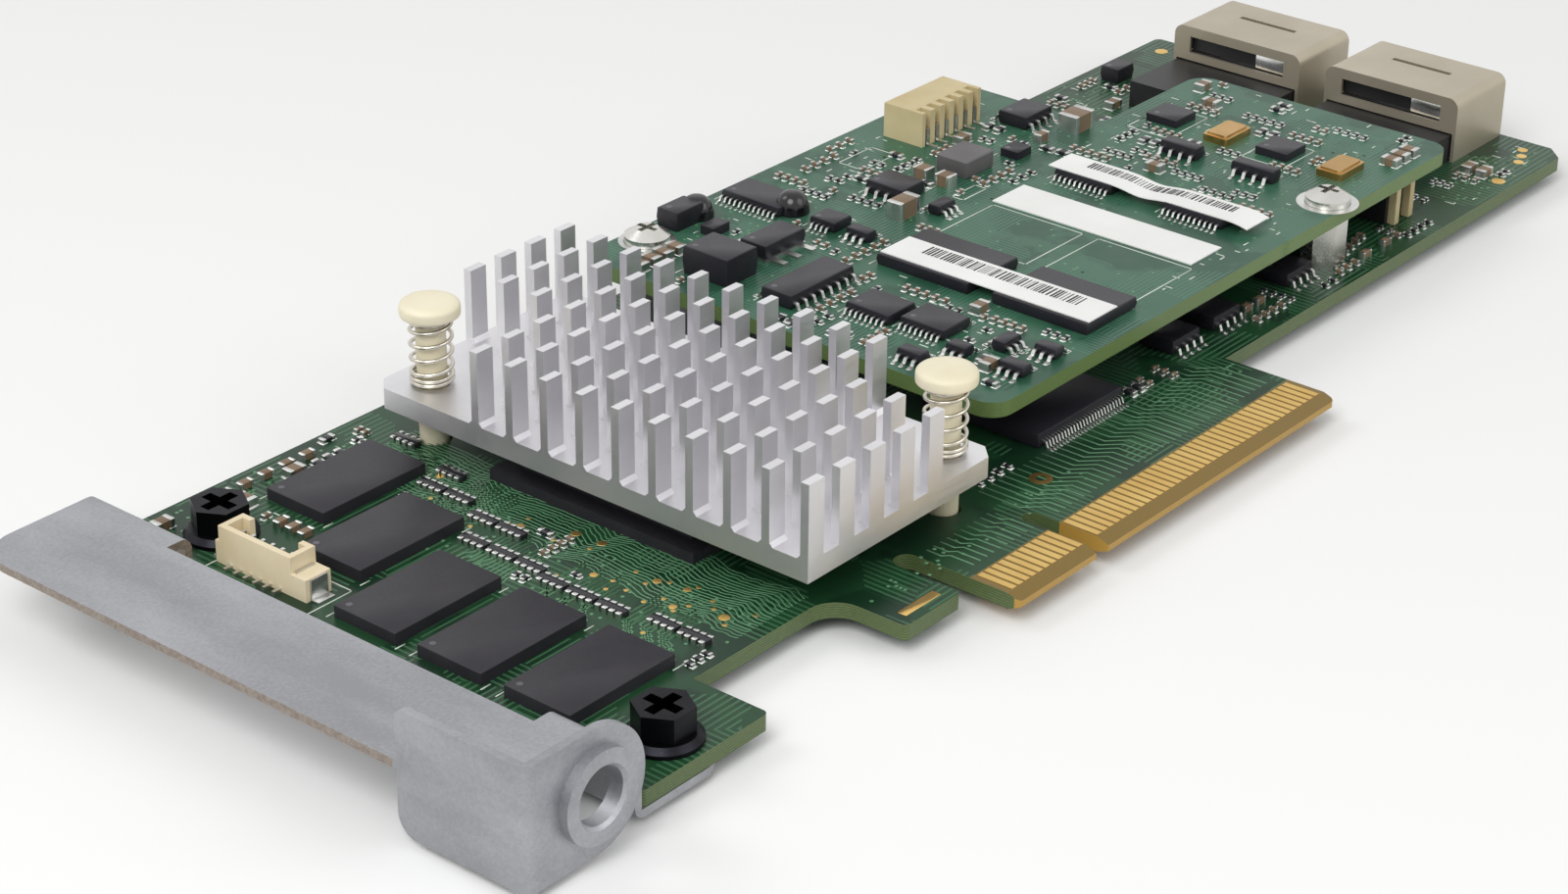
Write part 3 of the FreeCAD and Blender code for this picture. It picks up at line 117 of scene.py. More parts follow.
def blended(tree, factor, first, second):
    # the first colour where the factor is 0 and the second where it is 1
    mix = addNode(tree, "ShaderNodeMix", {"data_type": "RGBA"}, i0=factor, i6=first, i7=second)
    return mix.outputs[2]


def reckon(tree, operation, first, second=0.0, third=0.0):
    return addNode(tree, "ShaderNodeMath", {"operation": operation}, i0=first, i1=second,
                   i2=third).outputs[0]


def ranged(tree, factor, low, high):
    # a factor of 0 to 1 spread between two values
    return addNode(tree, "ShaderNodeMapRange", None, Value=factor, To_Min=low,
                   To_Max=high).outputs["Result"]


def shareOf(tree, value, start, stop):
    # 0 at start and 1 at stop
    return addNode(tree, "ShaderNodeMapRange", None, Value=value, From_Min=start,
                   From_Max=stop).outputs["Result"]


def bumped(tree, shader, height, depthMm, strength=1.0):
    bump = addNode(tree, "ShaderNodeBump", None, Height=height, Distance=depthMm * mm,
                   Strength=strength)
    tree.links.new(bump.outputs["Normal"], shader.inputs["Normal"])


# materials
boardFinish = {"cell": 6.5, "gap": 0.66, "unrouted": 0.42, "cloud": 9.0, "layer": 0.26, "weave": 0.5,
               "tongueTop": 5.45, "trackDepth": 0.018}  # lengths in mm, the rest shares


def boardMaterial(name, mask, maskLight, maskPour, edge, trackMm, tongueLeftMm):
    # FR4 with liquid solder mask: the eye sees green lacquer over raised tracks,
    # broad copper areas a little lighter, and pale woven glass at the cut edges
    material, tree, shader, place = newMaterial(name, mask, 0.34)
    shader.inputs["Specular IOR Level"].default_value = 0.3
    xyz = addNode(tree, "ShaderNodeSeparateXYZ", None, Vector=place).outputs
    plan = stretched(tree, place, (1, 1, 0))
    cells = addNode(tree, "ShaderNodeTexVoronoi", {"distance": "CHEBYCHEV"}, Vector=plan,
                    Scale=1 / (boardFinish["cell"] * mm)).outputs["Color"]
    cell = addNode(tree, "ShaderNodeSeparateColor", None, Color=cells).outputs
    lengthways = reckon(tree, "GREATER_THAN", cell["Red"], 0.5)
    crossX = addNode(tree, "ShaderNodeCombineXYZ", None, X=xyz["X"]).outputs[0]
    crossY = addNode(tree, "ShaderNodeCombineXYZ", None, X=xyz["Y"]).outputs[0]
    across = blended(tree, lengthways, crossX, crossY)
    runs = addNode(tree, "ShaderNodeSeparateXYZ", None, Vector=across).outputs["X"]
    phase = reckon(tree, "FRACT", reckon(tree, "DIVIDE", runs, trackMm * mm))
    track = reckon(tree, "GREATER_THAN", phase, boardFinish["gap"])
    routed = reckon(tree, "GREATER_THAN", cell["Green"], boardFinish["unrouted"])
    tracks = reckon(tree, "MULTIPLY", track, routed)
    cloud = noiseAt(tree, place, boardFinish["cloud"])
    ground = blended(tree, shareOf(tree, cloud, 0.48, 0.52), toLinear(mask), toLinear(maskPour))
    top = blended(tree, tracks, ground, toLinear(maskLight))
    normal = addNode(tree, "ShaderNodeNewGeometry").outputs["Normal"]
    facing = addNode(tree, "ShaderNodeSeparateXYZ", None, Vector=normal).outputs["Z"]
    flat = reckon(tree, "GREATER_THAN", reckon(tree, "ABSOLUTE", facing), 0.7)
    layers = reckon(tree, "FRACT", reckon(tree, "DIVIDE", xyz["Z"], boardFinish["layer"] * mm))
    weave = noiseAt(tree, stretched(tree, place, (1, 1, 6)), boardFinish["weave"])
    cut = blended(tree, reckon(tree, "MULTIPLY", layers, weave), toLinear(edge), toLinear("#84935c"))
    # the tongue carries no lacquer, so its bare laminate shows between the contacts
    onTongue = reckon(tree, "MULTIPLY", reckon(tree, "LESS_THAN", xyz["Y"], boardFinish["tongueTop"] * mm),
                      reckon(tree, "GREATER_THAN", xyz["X"], tongueLeftMm * mm))
    outer = blended(tree, flat, cut, top)
    bare = blended(tree, flat, toLinear("#b08c42"), toLinear("#7c6530"))
    tree.links.new(blended(tree, onTongue, outer, bare), shader.inputs["Base Color"])
    tree.links.new(ranged(tree, noiseAt(tree, place, 3.0), 0.26, 0.42), shader.inputs["Roughness"])
    bumped(tree, shader, tracks, boardFinish["trackDepth"], 0.5)
    return material


def metalMaterial(name, base, shade, roughness, grainMm, grain=(1, 1, 1), spread=0.12, depth=0.004,
                  share=1.0):
    # bare or plated metal: fine scratches drawn along the grain vary the gloss
    material, tree, shader, place = newMaterial(name, base, roughness, share)
    drawn = stretched(tree, place, grain)
    fine = noiseAt(tree, drawn, grainMm, 4.0, 0.65)
    broad = noiseAt(tree, place, grainMm * 30)
    tree.links.new(tinted(tree, broad, shade, base), shader.inputs["Base Color"])
    tree.links.new(ranged(tree, fine, roughness - spread, roughness + spread), shader.inputs["Roughness"])
    bumped(tree, shader, fine, depth)
    return material


def mouldedMaterial(name, base, shade, roughness, grainMm=0.25, depth=0.012):
    # moulded plastic or epoxy: fine spark-eroded grain and slight colour drift
    material, tree, shader, place = newMaterial(name, base, roughness)
    fine = noiseAt(tree, place, grainMm, 3.0)
    broad = noiseAt(tree, place, grainMm * 24)
    tree.links.new(tinted(tree, broad, shade, base), shader.inputs["Base Color"])
    tree.links.new(ranged(tree, fine, roughness - 0.07, roughness + 0.09), shader.inputs["Roughness"])
    bumped(tree, shader, fine, depth)
    return material


bracketFinish = {"speckle": 0.35, "cloud": 7.0, "lugEnd": 18.0}  # mm


def bracketMaterial():
    # zinc-plated steel sheet: even dull silver with a faint fine speckle and long
    # soft clouds, its sheared edges browner
    material, tree, shader, place = newMaterial("zincPlatedSteel", "#a4a5a9", 0.5, 1.0)
    speckle = noiseAt(tree, place, bracketFinish["speckle"], 4.0, 0.7)
    clouds = noiseAt(tree, stretched(tree, place, (1, 0.35, 1)), bracketFinish["cloud"], 3.0)
    tone = reckon(tree, "MULTIPLY_ADD", speckle, 0.4, reckon(tree, "MULTIPLY", clouds, 0.6))
    face = tinted(tree, tone, "#96979b", "#adaeb2", 0.38, 0.62)
    xyz = addNode(tree, "ShaderNodeSeparateXYZ", None, Vector=place).outputs
    normal = addNode(tree, "ShaderNodeNewGeometry").outputs["Normal"]
    facing = addNode(tree, "ShaderNodeSeparateXYZ", None, Vector=normal).outputs
    upright = reckon(tree, "LESS_THAN", reckon(tree, "ABSOLUTE", facing["Z"]), 0.5)
    beyond = reckon(tree, "GREATER_THAN", xyz["Y"], bracketFinish["lugEnd"] * mm)
    sheared = reckon(tree, "MULTIPLY", upright, beyond)
    edge = tinted(tree, speckle, "#85796f", "#aba29a")
    tree.links.new(blended(tree, sheared, face, edge), shader.inputs["Base Color"])
    tree.links.new(ranged(tree, speckle, 0.44, 0.58), shader.inputs["Roughness"])
    bumped(tree, shader, speckle, 0.006, 0.6)
    return material


noTongue = 900.0  # mm, past the end of any board
boardGreen = boardMaterial("fr4GreenMask", "#12301d", "#3d6647", "#1b4026", "#3f5233", 0.7, -12.6)
daughterGreen = boardMaterial("fr4TealMask", "#264e3b", "#43705a", "#345f49", "#54703f", 0.5, noTongue)
zincSteel = bracketMaterial()
aluminium = metalMaterial("extrudedAluminium", "#e2e1e3", "#d5d4d7", 0.42, 0.3, (0.08, 1, 1))
gold = metalMaterial("hardGold", "#e6c57c", "#d6b064", 0.4, 0.2, (1, 0.1, 1), 0.08, 0.002)
blackSteel = metalMaterial("blackOxideSteel", "#2b2b30", "#1c1c20", 0.38, 0.2)
springWire = metalMaterial("musicWire", "#d8d4c8", "#b7b1a2", 0.26, 0.2, (1, 1, 0.3), 0.06)
nickel = metalMaterial("satinNickelPlate", "#bdb4a1", "#aba28e", 0.4, 0.5, (0.2, 1, 1), 0.08, 0.001, 0.6)
flapSteel = metalMaterial("polishedSpringSteel", "#ececea", "#dededb", 0.24, 0.3, (1, 1, 1), 0.06, 0.0005)
headSteel = metalMaterial("nickelPlatedSteel", "#d6d5d0", "#bfbdb6", 0.26, 0.2, (1, 1, 1), 0.06, 0.0005)
tin = metalMaterial("tinnedCopper", "#dededb", "#bcbcba", 0.33, 0.15, (1, 1, 1), 0.08, 0.002)
crystalGold = metalMaterial("goldFlashedLid", "#c9a469", "#a9854d", 0.33, 0.3)
epoxy = mouldedMaterial("epoxyMould", "#2b292f", "#232127", 0.5, 0.16, 0.008)
epoxyShiny = mouldedMaterial("epoxyMouldGloss", "#242229", "#1d1b22", 0.4, 0.16, 0.005)
for dark in (epoxy, epoxyShiny):
    dark.node_tree.nodes["Principled BSDF"].inputs["Specular IOR Level"].default_value = 0.35
dimpleGrey = mouldedMaterial("dimpleFloor", "#55535b", "#4b4951", 0.3, 0.3, 0.002)
glueBlack = mouldedMaterial("curedEpoxyGlue", "#17161a", "#111014", 0.16, 0.6, 0.01)
creamNylon = mouldedMaterial("creamNylon", "#efe8cf", "#e6dcbd", 0.45, 0.3, 0.008)
creamPart = mouldedMaterial("beigePolyester", "#e8dabb", "#dccba6", 0.5, 0.25, 0.008)
tanPart = mouldedMaterial("tanPolyester", "#d2c398", "#c2b184", 0.5, 0.25, 0.008)
blackPart = mouldedMaterial("blackPolyester", "#1d1d20", "#151518", 0.45, 0.2, 0.008)
ceramicTan = mouldedMaterial("capacitorCeramic", "#84705a", "#6f5a44", 0.5, 0.2, 0.006)
ceramicBlack = mouldedMaterial("resistorGlaze", "#26262b", "#1e1e22", 0.3, 0.2, 0.004)
ferrite = mouldedMaterial("sinteredFerrite", "#706d6e", "#5c5a5b", 0.55, 0.3, 0.02)
thermalPad = mouldedMaterial("siliconePad", "#9aa0a4", "#8a9094", 0.8, 0.5, 0.02)
paper = mouldedMaterial("labelPaper", "#f3f3f1", "#e9e9e6", 0.62, 0.4, 0.006)
ink = mouldedMaterial("blackInk", "#1a1a1c", "#202024", 0.55, 0.4, 0.002)
silkWhite = mouldedMaterial("silkscreenInk", "#dfe6dc", "#cfd8cb", 0.6, 0.3, 0.004)
trackGreen = mouldedMaterial("maskOverTrack", "#5f9069", "#4f7f5a", 0.3, 0.6, 0.004)
print("materials ready")


# mesh helpers
def newPiece(name, points, faces, material, slot, smooth=40, replaces=()):
    # a mesh from whole arrays; loops of a face are given as one row of numbers
    mesh = bpy.data.meshes.new(name)
    faces = [np.asarray(block) for block in faces if len(block)]
    sizes = np.concatenate([np.full(len(block), block.shape[1]) for block in faces])
    corners = np.concatenate([block.ravel() for block in faces]).astype(np.int32)
    mesh.vertices.add(len(points))
    mesh.vertices.foreach_set("co", np.asarray(points, np.float32).ravel())
    mesh.loops.add(len(corners))
    mesh.loops.foreach_set("vertex_index", corners)
    mesh.polygons.add(len(sizes))
    starts = np.concatenate([[0], np.cumsum(sizes)[:-1]]).astype(np.int32)
    mesh.polygons.foreach_set("loop_start", starts)
    mesh.update(calc_edges=True)
    mesh.validate()
    if smooth:
        mesh.shade_smooth()
        mesh.set_sharp_from_angle(angle=math.radians(smooth))
    mesh.materials.append(material)
    piece = bpy.data.objects.new(name, mesh)
    bpy.context.scene.collection.objects.link(piece)
    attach(piece, "root")
    if replaces:
        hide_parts(*replaces)
    return piece


def dress(node, material):
    # a CAD node that stays as it is and takes a finer material
    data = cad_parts[node].data
    data.materials.clear()
    data.materials.append(material)


def solidsOf(node):
    # lowest and highest corner of each separate solid of a CAD node: its triangles
    # are joined where corners meet, and the least corner number spreads through each
    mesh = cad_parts[node].data
    points = np.empty(len(mesh.vertices) * 3)
    mesh.vertices.foreach_get("co", points)
    loops = np.empty(len(mesh.loops), np.int64)
    mesh.loops.foreach_get("vertex_index", loops)
    spots, index = np.unique(np.round(points.reshape(-1, 3), 6), axis=0, return_inverse=True)
    faces = index.ravel()[loops].reshape(-1, 3)
    label = np.arange(len(spots))
    while True:
        least = np.repeat(label[faces].min(axis=1), 3)
        spread = label.copy()
        np.minimum.at(spread, faces.ravel(), least)
        if (spread == label).all():
            break
        label = spread
    names = np.unique(label)
    lows = np.array([spots[label == name].min(axis=0) for name in names])
    highs = np.array([spots[label == name].max(axis=0) for name in names])
    return lows, highs


def ringFaces(count, rings, around):
    # quads between neighbouring rings, for each of several like shapes
    ring, step = np.meshgrid(np.arange(rings - 1), np.arange(around), indexing="ij")
    a = ring * around + step
    b = ring * around + (step + 1) % around
    quads = np.stack([a, b, b + around, a + around], -1).reshape(-1, 4)
    offsets = np.arange(count)[:, None, None] * rings * around
    return (quads[None] + offsets).reshape(-1, 4)


def capFaces(count, rings, around):
    # the first ring turned over, and the last ring, as many-sided faces
    first = np.arange(around)[::-1]
    last = np.arange(around) + (rings - 1) * around
    offsets = np.arange(count)[:, None] * rings * around
    return np.concatenate([first[None] + offsets, last[None] + offsets])


def tubeFaces(count, rings, around):
    # the sides and both ends of closed shapes made of rings
    return [ringFaces(count, rings, around), capFaces(count, rings, around)]


def softRings(edge):
    # upright sides whose top edge is taken off by so many mm
    return [(0, 0, 0), (0, 1, -edge), (edge, 1, 0)]


def slabRings(edge=0.0):
    # a thin slab, its top drawn in by so many mm
    return [(0, 0, 0), (edge, 1, 0)]


def roundedBlocks(lows, highs, rings, corner, steps=2):
    # each block is a rounded rectangle carried up through rings given as inset,
    # share of the height and added height; corners are quarter circles
    lows, highs = np.atleast_2d(lows), np.atleast_2d(highs)
    angles = np.concatenate([np.linspace(q, q + 0.5 * math.pi, steps + 1)
                             for q in np.arange(4) * 0.5 * math.pi])
    turnX, turnY = np.cos(angles), np.sin(angles)
    quarter = np.repeat(np.arange(4), steps + 1)
    signX = np.array([1, -1, -1, 1])[quarter]
    signY = np.array([1, 1, -1, -1])[quarter]
    middle, half = (lows + highs) / 2, (highs - lows) / 2
    rings = np.asarray(rings, float)
    inset = rings[:, 0] * mm
    bend = np.minimum(corner * mm, half[:, :2].min(axis=1) * 0.98)[:, None, None]
    halfX = (half[:, 0, None] - inset)[:, :, None]
    halfY = (half[:, 1, None] - inset)[:, :, None]
    bend = np.minimum(bend, np.minimum(halfX, halfY) * 0.98)
    x = middle[:, 0, None, None] + signX * (halfX - bend) + turnX * bend
    y = middle[:, 1, None, None] + signY * (halfY - bend) + turnY * bend
    z = lows[:, 2, None] + rings[:, 1] * (highs - lows)[:, 2, None] + rings[:, 2] * mm
    z = np.broadcast_to(z[:, :, None], x.shape)
    points = np.stack([x, y, z], -1).reshape(-1, 3)
    around = len(angles)
    return points, tubeFaces(len(lows), len(rings), around)


def turnedBodies(profile, spots, around=40):
    # a radius and height profile swept round an upright axis at each spot
    profile = np.asarray(profile, float) * mm
    angle = np.linspace(0, 2 * math.pi, around, endpoint=False)
    x = profile[:, :1] * np.cos(angle)
    y = profile[:, :1] * np.sin(angle)
    z = np.broadcast_to(profile[:, 1:], x.shape)
    one = np.stack([x, y, z], -1).reshape(1, -1, 3)
    points = (one + np.asarray(spots)[:, None, :]).reshape(-1, 3)
    return points, tubeFaces(len(spots), len(profile), around)


def tubeAlong(path, radius, around=10):
    # circles of one radius set square to a path, the frame carried from the
    # upright direction
    path = np.asarray(path, float)
    ahead = np.gradient(path, axis=0)
    ahead /= np.linalg.norm(ahead, axis=1)[:, None]
    side = np.cross(ahead, [0, 0, 1.0])
    side /= np.linalg.norm(side, axis=1)[:, None]
    over = np.cross(side, ahead)
    angle = np.linspace(0, 2 * math.pi, around, endpoint=False)
    ring = side[:, None] * np.cos(angle)[None, :, None] + over[:, None] * np.sin(angle)[None, :, None]
    points = (path[:, None] - ring * radius).reshape(-1, 3)
    return points, tubeFaces(1, len(path), around)


def joined(parts):
    # several point and face sets as one
    points, faces, offset = [], [], 0
    for partPoints, partFaces in parts:
        points.append(partPoints)
        faces.extend(block + offset for block in partFaces if len(block))
        offset += len(partPoints)
    return np.concatenate(points), faces


def box(x0, y0, z0, x1, y1, z1):
    # lowest and highest corner in metres from millimetres
    return np.array([x0, y0, z0]) * mm, np.array([x1, y1, z1]) * mm


def inMm(corners):
    # lowest and highest corner in millimetres from metres
    return [corner / mm for corner in corners]


# height of each board's top in mm
levels = {"main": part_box("main_board")[1][2] / mm, "daughter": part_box("daughter_board")[1][2] / mm}
laid = 0.004  # mm by which what is laid on a surface sinks into it

# camera, lamps and floor
camera = {"place": (-0.2271, -0.14908, 0.15013), "ahead": (0.68669, 0.5632, -0.45964),
          "up": (0.34853, 0.29981, 0.88806), "lens": 78.8, "sensor": 36.0, "clip": (0.01, 20.0)}
studio = {
    "lamps": (  # name, place in metres, width in metres, watts
        ("keyLamp", (-0.55, -0.15, 0.62), 0.55, 3.9), ("fillLamp", (0.25, -0.65, 0.5), 0.6, 1.6),
        ("backLamp", (-0.35, 0.7, 0.75), 0.5, 1.7)),
    "aim": (0.02, 0.035, 0), "daylight": 0.45, "white": 1.0, "floor": "#f6f6f5", "reach": 3.0, "drop": 0.02}


def makeCamera():
    data = bpy.data.cameras.new("camera")
    data.lens, data.sensor_width = camera["lens"], camera["sensor"]
    data.clip_start, data.clip_end = camera["clip"]
    item = bpy.data.objects.new("camera", data)
    ahead = Vector(camera["ahead"]).normalized()
    right = ahead.cross(Vector(camera["up"])).normalized()
    turn = Matrix((right, right.cross(ahead), -ahead)).transposed()
    item.matrix_world = Matrix.Translation(camera["place"]) @ turn.to_4x4()
    bpy.context.scene.collection.objects.link(item)
    bpy.context.scene.camera = item


def makeLight():
    # three soft lamps, and a sky that looks white and lights the card more weakly
    aim = Vector(studio["aim"])
    for name, place, size, power in studio["lamps"]:
        data = bpy.data.lights.new(name, "AREA")
        data.shape, data.size, data.energy = "DISK", size, power
        item = bpy.data.objects.new(name, data)
        item.location = place
        item.rotation_euler = (aim - Vector(place)).to_track_quat("-Z", "Y").to_euler()
        bpy.context.scene.collection.objects.link(item)
    world = bpy.data.worlds.new("studio")
    bpy.context.scene.world = world
    world.use_nodes = True
    tree = world.node_tree
    back = tree.nodes["Background"]
    back.inputs["Color"].default_value = (1.0, 1.0, 1.0, 1.0)
    path = addNode(tree, "ShaderNodeLightPath").outputs
    seen = reckon(tree, "MAXIMUM", path["Is Camera Ray"], path["Is Transmission Ray"])
    white = reckon(tree, "MAXIMUM", seen, path["Is Glossy Ray"])
    tree.links.new(ranged(tree, white, studio["daylight"], studio["white"]), back.inputs["Strength"])


def makeFloor():
    low, reach = cadLow[2] - studio["drop"] * mm, studio["reach"]
    corners = [(-reach, -reach, low), (reach, -reach, low), (reach, reach, low), (-reach, reach, low)]
    mesh = bpy.data.meshes.new("floor")
    mesh.from_pydata(corners, [], [(0, 1, 2, 3)])
    material, _, shader, _ = newMaterial("paleFloor", studio["floor"], 0.9)
    shader.inputs["Specular IOR Level"].default_value = 0.0
    mesh.materials.append(material)
    floor = bpy.data.objects.new("floor", mesh)
    bpy.context.scene.collection.objects.link(floor)


makeCamera()
makeLight()
makeFloor()
print("camera, light and floor ready")

# CAD nodes that keep their shape
for node, material in (
        ("main_board", boardGreen), ("daughter_board", daughterGreen), ("bracket", zincSteel),
        ("heat_sink", aluminium), ("bracket_screws", blackSteel), ("edge_contacts", gold),
        ("standoffs", headSteel), ("standoff_screws", headSteel), ("controller_chip", epoxy),
        ("thermal_pad", thermalPad), ("wire_header", creamPart), ("wire_header_pins", tin),
        ("wire_header_tabs", tin), ("stack_socket", blackPart), ("stack_plug", blackPart),
        ("stack_pegs", tanPart), ("sas_shell_1", nickel), ("sas_shell_2", nickel),
        ("sas_housing_1", blackPart), ("sas_housing_2", blackPart), ("sas_contacts_1", gold),
        ("sas_contacts_2", gold), ("side_header", tanPart), ("side_header_pins", tin),
        ("transistor_leads", tin), ("blank_label", paper), ("lower_label", paper)):
    dress(node, material)

# moulded chips: body with drafted sides, a round mark by the first lead
chipShape = {"draft": 0.12, "edge": 0.06, "corner": 0.12, "sawn": 0.04}  # mm
markShape = {"radius": 0.32, "inset": 0.95, "share": 0.22, "smallestChip": 2.2, "sink": 0.01, "high": 0.006}
draftedRings = [(chipShape["draft"], 0, 0), (0, 0.5, 0), (chipShape["draft"] * 0.7, 1, -chipShape["edge"]),
                (chipShape["draft"] + chipShape["edge"], 1, 0)]
sawnRings = softRings(chipShape["sawn"])  # sawn packages have upright sides


def chipBodies(node, material, rings=draftedRings, corner=chipShape["corner"]):
    # every body of one node, each a rounded rectangle carried up through the rings
    lows, highs = solidsOf(node)
    bodies = roundedBlocks(lows, highs, rings, corner)
    newPiece(node + "_moulded", *bodies, material, "chip_plastic", 40, (node,))
    return lows, highs


leadedChips = {node: chipBodies(node, epoxyShiny)
               for node in ("so_chips", "fine_chips", "small_chips", "lower_chips", "quad_chip")}
plainChips = {node: chipBodies(node, epoxy, sawnRings, 0.05)
              for node in ["memory_chip_%d" % number for number in range(1, 6)]}
for node in ("flash_chip_1", "flash_chip_2", "power_block", "small_block", "diode", "transistor"):
    plainChips[node] = chipBodies(node, epoxyShiny)
plainChips["flat_chips"] = chipBodies("flat_chips", epoxyShiny, sawnRings, 0.1)


def firstLeadMarks():
    # shallow round marks laid on the chips by their first corner
    spots = []
    for lows, highs in list(leadedChips.values()) + list(plainChips.values()):
        for low, high in zip(lows, highs):
            size = high - low
            if min(size[0], size[1]) >= markShape["smallestChip"] * mm:
                inset = min(markShape["inset"] * mm, size[0] * markShape["share"])
                spots.append((low[0] + inset, high[1] - inset, high[2]))
    radius, high = markShape["radius"], markShape["high"]
    profile = [(radius, -markShape["sink"]), (radius, high), (radius * 0.9, high + 0.002)]
    newPiece("first_lead_marks", *turnedBodies(profile, spots, 16), dimpleGrey, "chip_plastic", 0)


firstLeadMarks()

# bent leads: shoulder out of the body's side, falling bend, foot on the board
leadShape = {"thick": 0.17, "width": 0.9,  # mm, and share of the node's own width
             "out": (-0.02, 0.18, 0.36, 0.44, 0.52, 0.62, 1.0),  # shares of the length
             "up": (1.0, 1.0, 0.92, 0.6, 0.2, 0.0, 0.0)}  # shares of the height
footPad = {"centre": 0.86, "half": 0.4, "width": 0.6, "high": 0.03, "corner": 0.05}  # two shares, else mm


def leadDirections(middle, chips):
    # each lead points away from the side of the chip body that is nearest to it
    chipMiddle = (chips[0] + chips[1]) / 2
    chipHalf = (chips[1] - chips[0]) / 2
    away = np.abs(middle[:, None, :2] - chipMiddle[None, :, :2]) - chipHalf[None, :, :2]
    nearest = np.linalg.norm(np.maximum(away, 0), axis=2).argmin(axis=1)
    offset = middle[:, :2] - chipMiddle[nearest, :2]
    beyond = np.abs(offset) - chipHalf[nearest, :2]
    alongX = beyond[:, 0] > beyond[:, 1]
    outward = np.zeros((len(middle), 3))
    outward[alongX, 0] = np.sign(offset[alongX, 0])
    outward[~alongX, 1] = np.sign(offset[~alongX, 1])
    return alongX, outward


def bentLeads(node, chips):
    # a flat strip's four corners carried square to the path of out and up, for every
    # lead at once
    lows, highs = solidsOf(node)
    middle, size = (lows + highs) / 2, highs - lows
    alongX, outward = leadDirections(middle, chips)
    sideways = np.stack([-outward[:, 1], outward[:, 0], np.zeros(len(lows))], -1)
    length = np.where(alongX, size[:, 0], size[:, 1])
    width = np.where(alongX, size[:, 1], size[:, 0]) * leadShape["width"]
    thick = leadShape["thick"] * mm
    root = middle - outward * (length / 2)[:, None]
    root[:, 2] = lows[:, 2]
    out = np.array(leadShape["out"])[None] * length[:, None]
    up = np.array(leadShape["up"])[None] * (size[:, 2] - thick)[:, None]
    path = root[:, None] + outward[:, None] * out[..., None]
    path[..., 2] += up
    along = np.gradient(np.stack([out, up], -1), axis=1)
    along /= np.linalg.norm(along, axis=2)[..., None]
    normal = outward[:, None] * (-along[..., 1:]) + np.array([0, 0, 1.0]) * along[..., :1]
    half = sideways[:, None] * (width / 2)[:, None, None]
    skin = normal * thick / 2
    lift = np.array([0, 0, 1.0]) * thick / 2
    ring = np.stack([half - skin + lift, half + skin + lift, -half + skin + lift, -half - skin + lift], 2)
    points = (path[:, :, None] + ring).reshape(-1, 3)
    faces = tubeFaces(len(lows), len(leadShape["out"]), 4)
    newPiece(node + "_bent", points, faces, tin, "tinned_lead", 30, (node,))
    return root, outward, sideways, width, length


def allLeads():
    # the leads of every leaded chip, and a solder pad under each foot
    pads = []
    for node, chips in leadedChips.items():
        root, outward, sideways, width, length = bentLeads(node + "_leads", chips)
        centre = root + outward * (length * footPad["centre"])[:, None]
        half = np.abs(outward) * footPad["half"] * mm + np.abs(sideways) * (width * footPad["width"])[:, None]
        low, high = centre - half, centre + half
        low[:, 2], high[:, 2] = root[:, 2], root[:, 2] + footPad["high"] * mm
        pads.append(roundedBlocks(low, high, slabRings(0.03), footPad["corner"], 1))
    newPiece("lead_solder_pads", *joined(pads), tin, "tinned_lead", 30)


allLeads()
print("chips and leads ready")

# push pins and springs
pinShape = {"head": 2.9, "stem": 1.45, "barb": 2.1, "barbHigh": 1.5}
springShape = {"wire": 0.2, "coil": 1.96, "turns": 3.6, "closedLow": 2.2, "closedHigh": 1.0, "pitch": 2.1,
               "start": 0.8, "steps": 240}  # the pitch of closed turns counts wire radii


def pushPins():
    # a radius that changes with height: pointed barb, slim stem, rounded head
    lows, highs = solidsOf("push_pins")
    spots = (lows + highs) / 2
    spots[:, 2] = highs[:, 2]
    low = (lows[0, 2] - highs[0, 2]) / mm
    head, stem, barb = pinShape["head"], pinShape["stem"], pinShape["barb"]
    top = low + pinShape["barbHigh"]
    profile = [(0.5, low), (0.8, low + 0.06), (barb - 0.05, top - 0.55), (barb, top - 0.1), (barb - 0.1, top),
               (stem, top), (stem, -1.5), (stem + 0.12, -1.4), (head - 0.1, -1.4), (head - 0.02, -1.32),
               (head, -1.2), (head, -0.55), (head - 0.06, -0.34), (head - 0.25, -0.16), (head - 0.7, -0.05),
               (head * 0.5, -0.01), (0.3, 0.0)]
    pins = turnedBodies(profile, spots, 48)
    newPiece("push_pins_moulded", *pins, creamNylon, "cream_nylon", 45, ("push_pins",))


def pinSprings():
    # a round wire on a helix whose climb is slow in the closed end turns and
    # quick in the open middle
    wire, coil, pitch = springShape["wire"] * mm, springShape["coil"] * mm, springShape["pitch"]
    shut, loose, top = springShape["closedLow"], springShape["turns"], springShape["closedHigh"]
    turn = np.linspace(0, 1, springShape["steps"]) * (shut + loose + top)
    slow = np.clip(turn, 0, shut) + np.clip(turn - (shut + loose), 0, top)
    quick = np.clip(turn - shut, 0, loose) / loose
    angle = turn * 2 * math.pi + springShape["start"]
    parts = []
    for low, high in zip(*solidsOf("pin_springs")):
        x, y = (low + high)[:2] / 2
        height = high[2] - low[2] - 2 * wire
        climb = height - (shut + top) * pitch * wire
        z = low[2] + wire + slow * pitch * wire + quick * climb
        parts.append(tubeAlong(np.stack([x + coil * np.cos(angle), y + coil * np.sin(angle), z], -1), wire))
    newPiece("pin_springs_wound", *joined(parts), springWire, "spring_steel", 60, ("pin_springs",))


pushPins()
pinSprings()
print("push pins and springs ready")

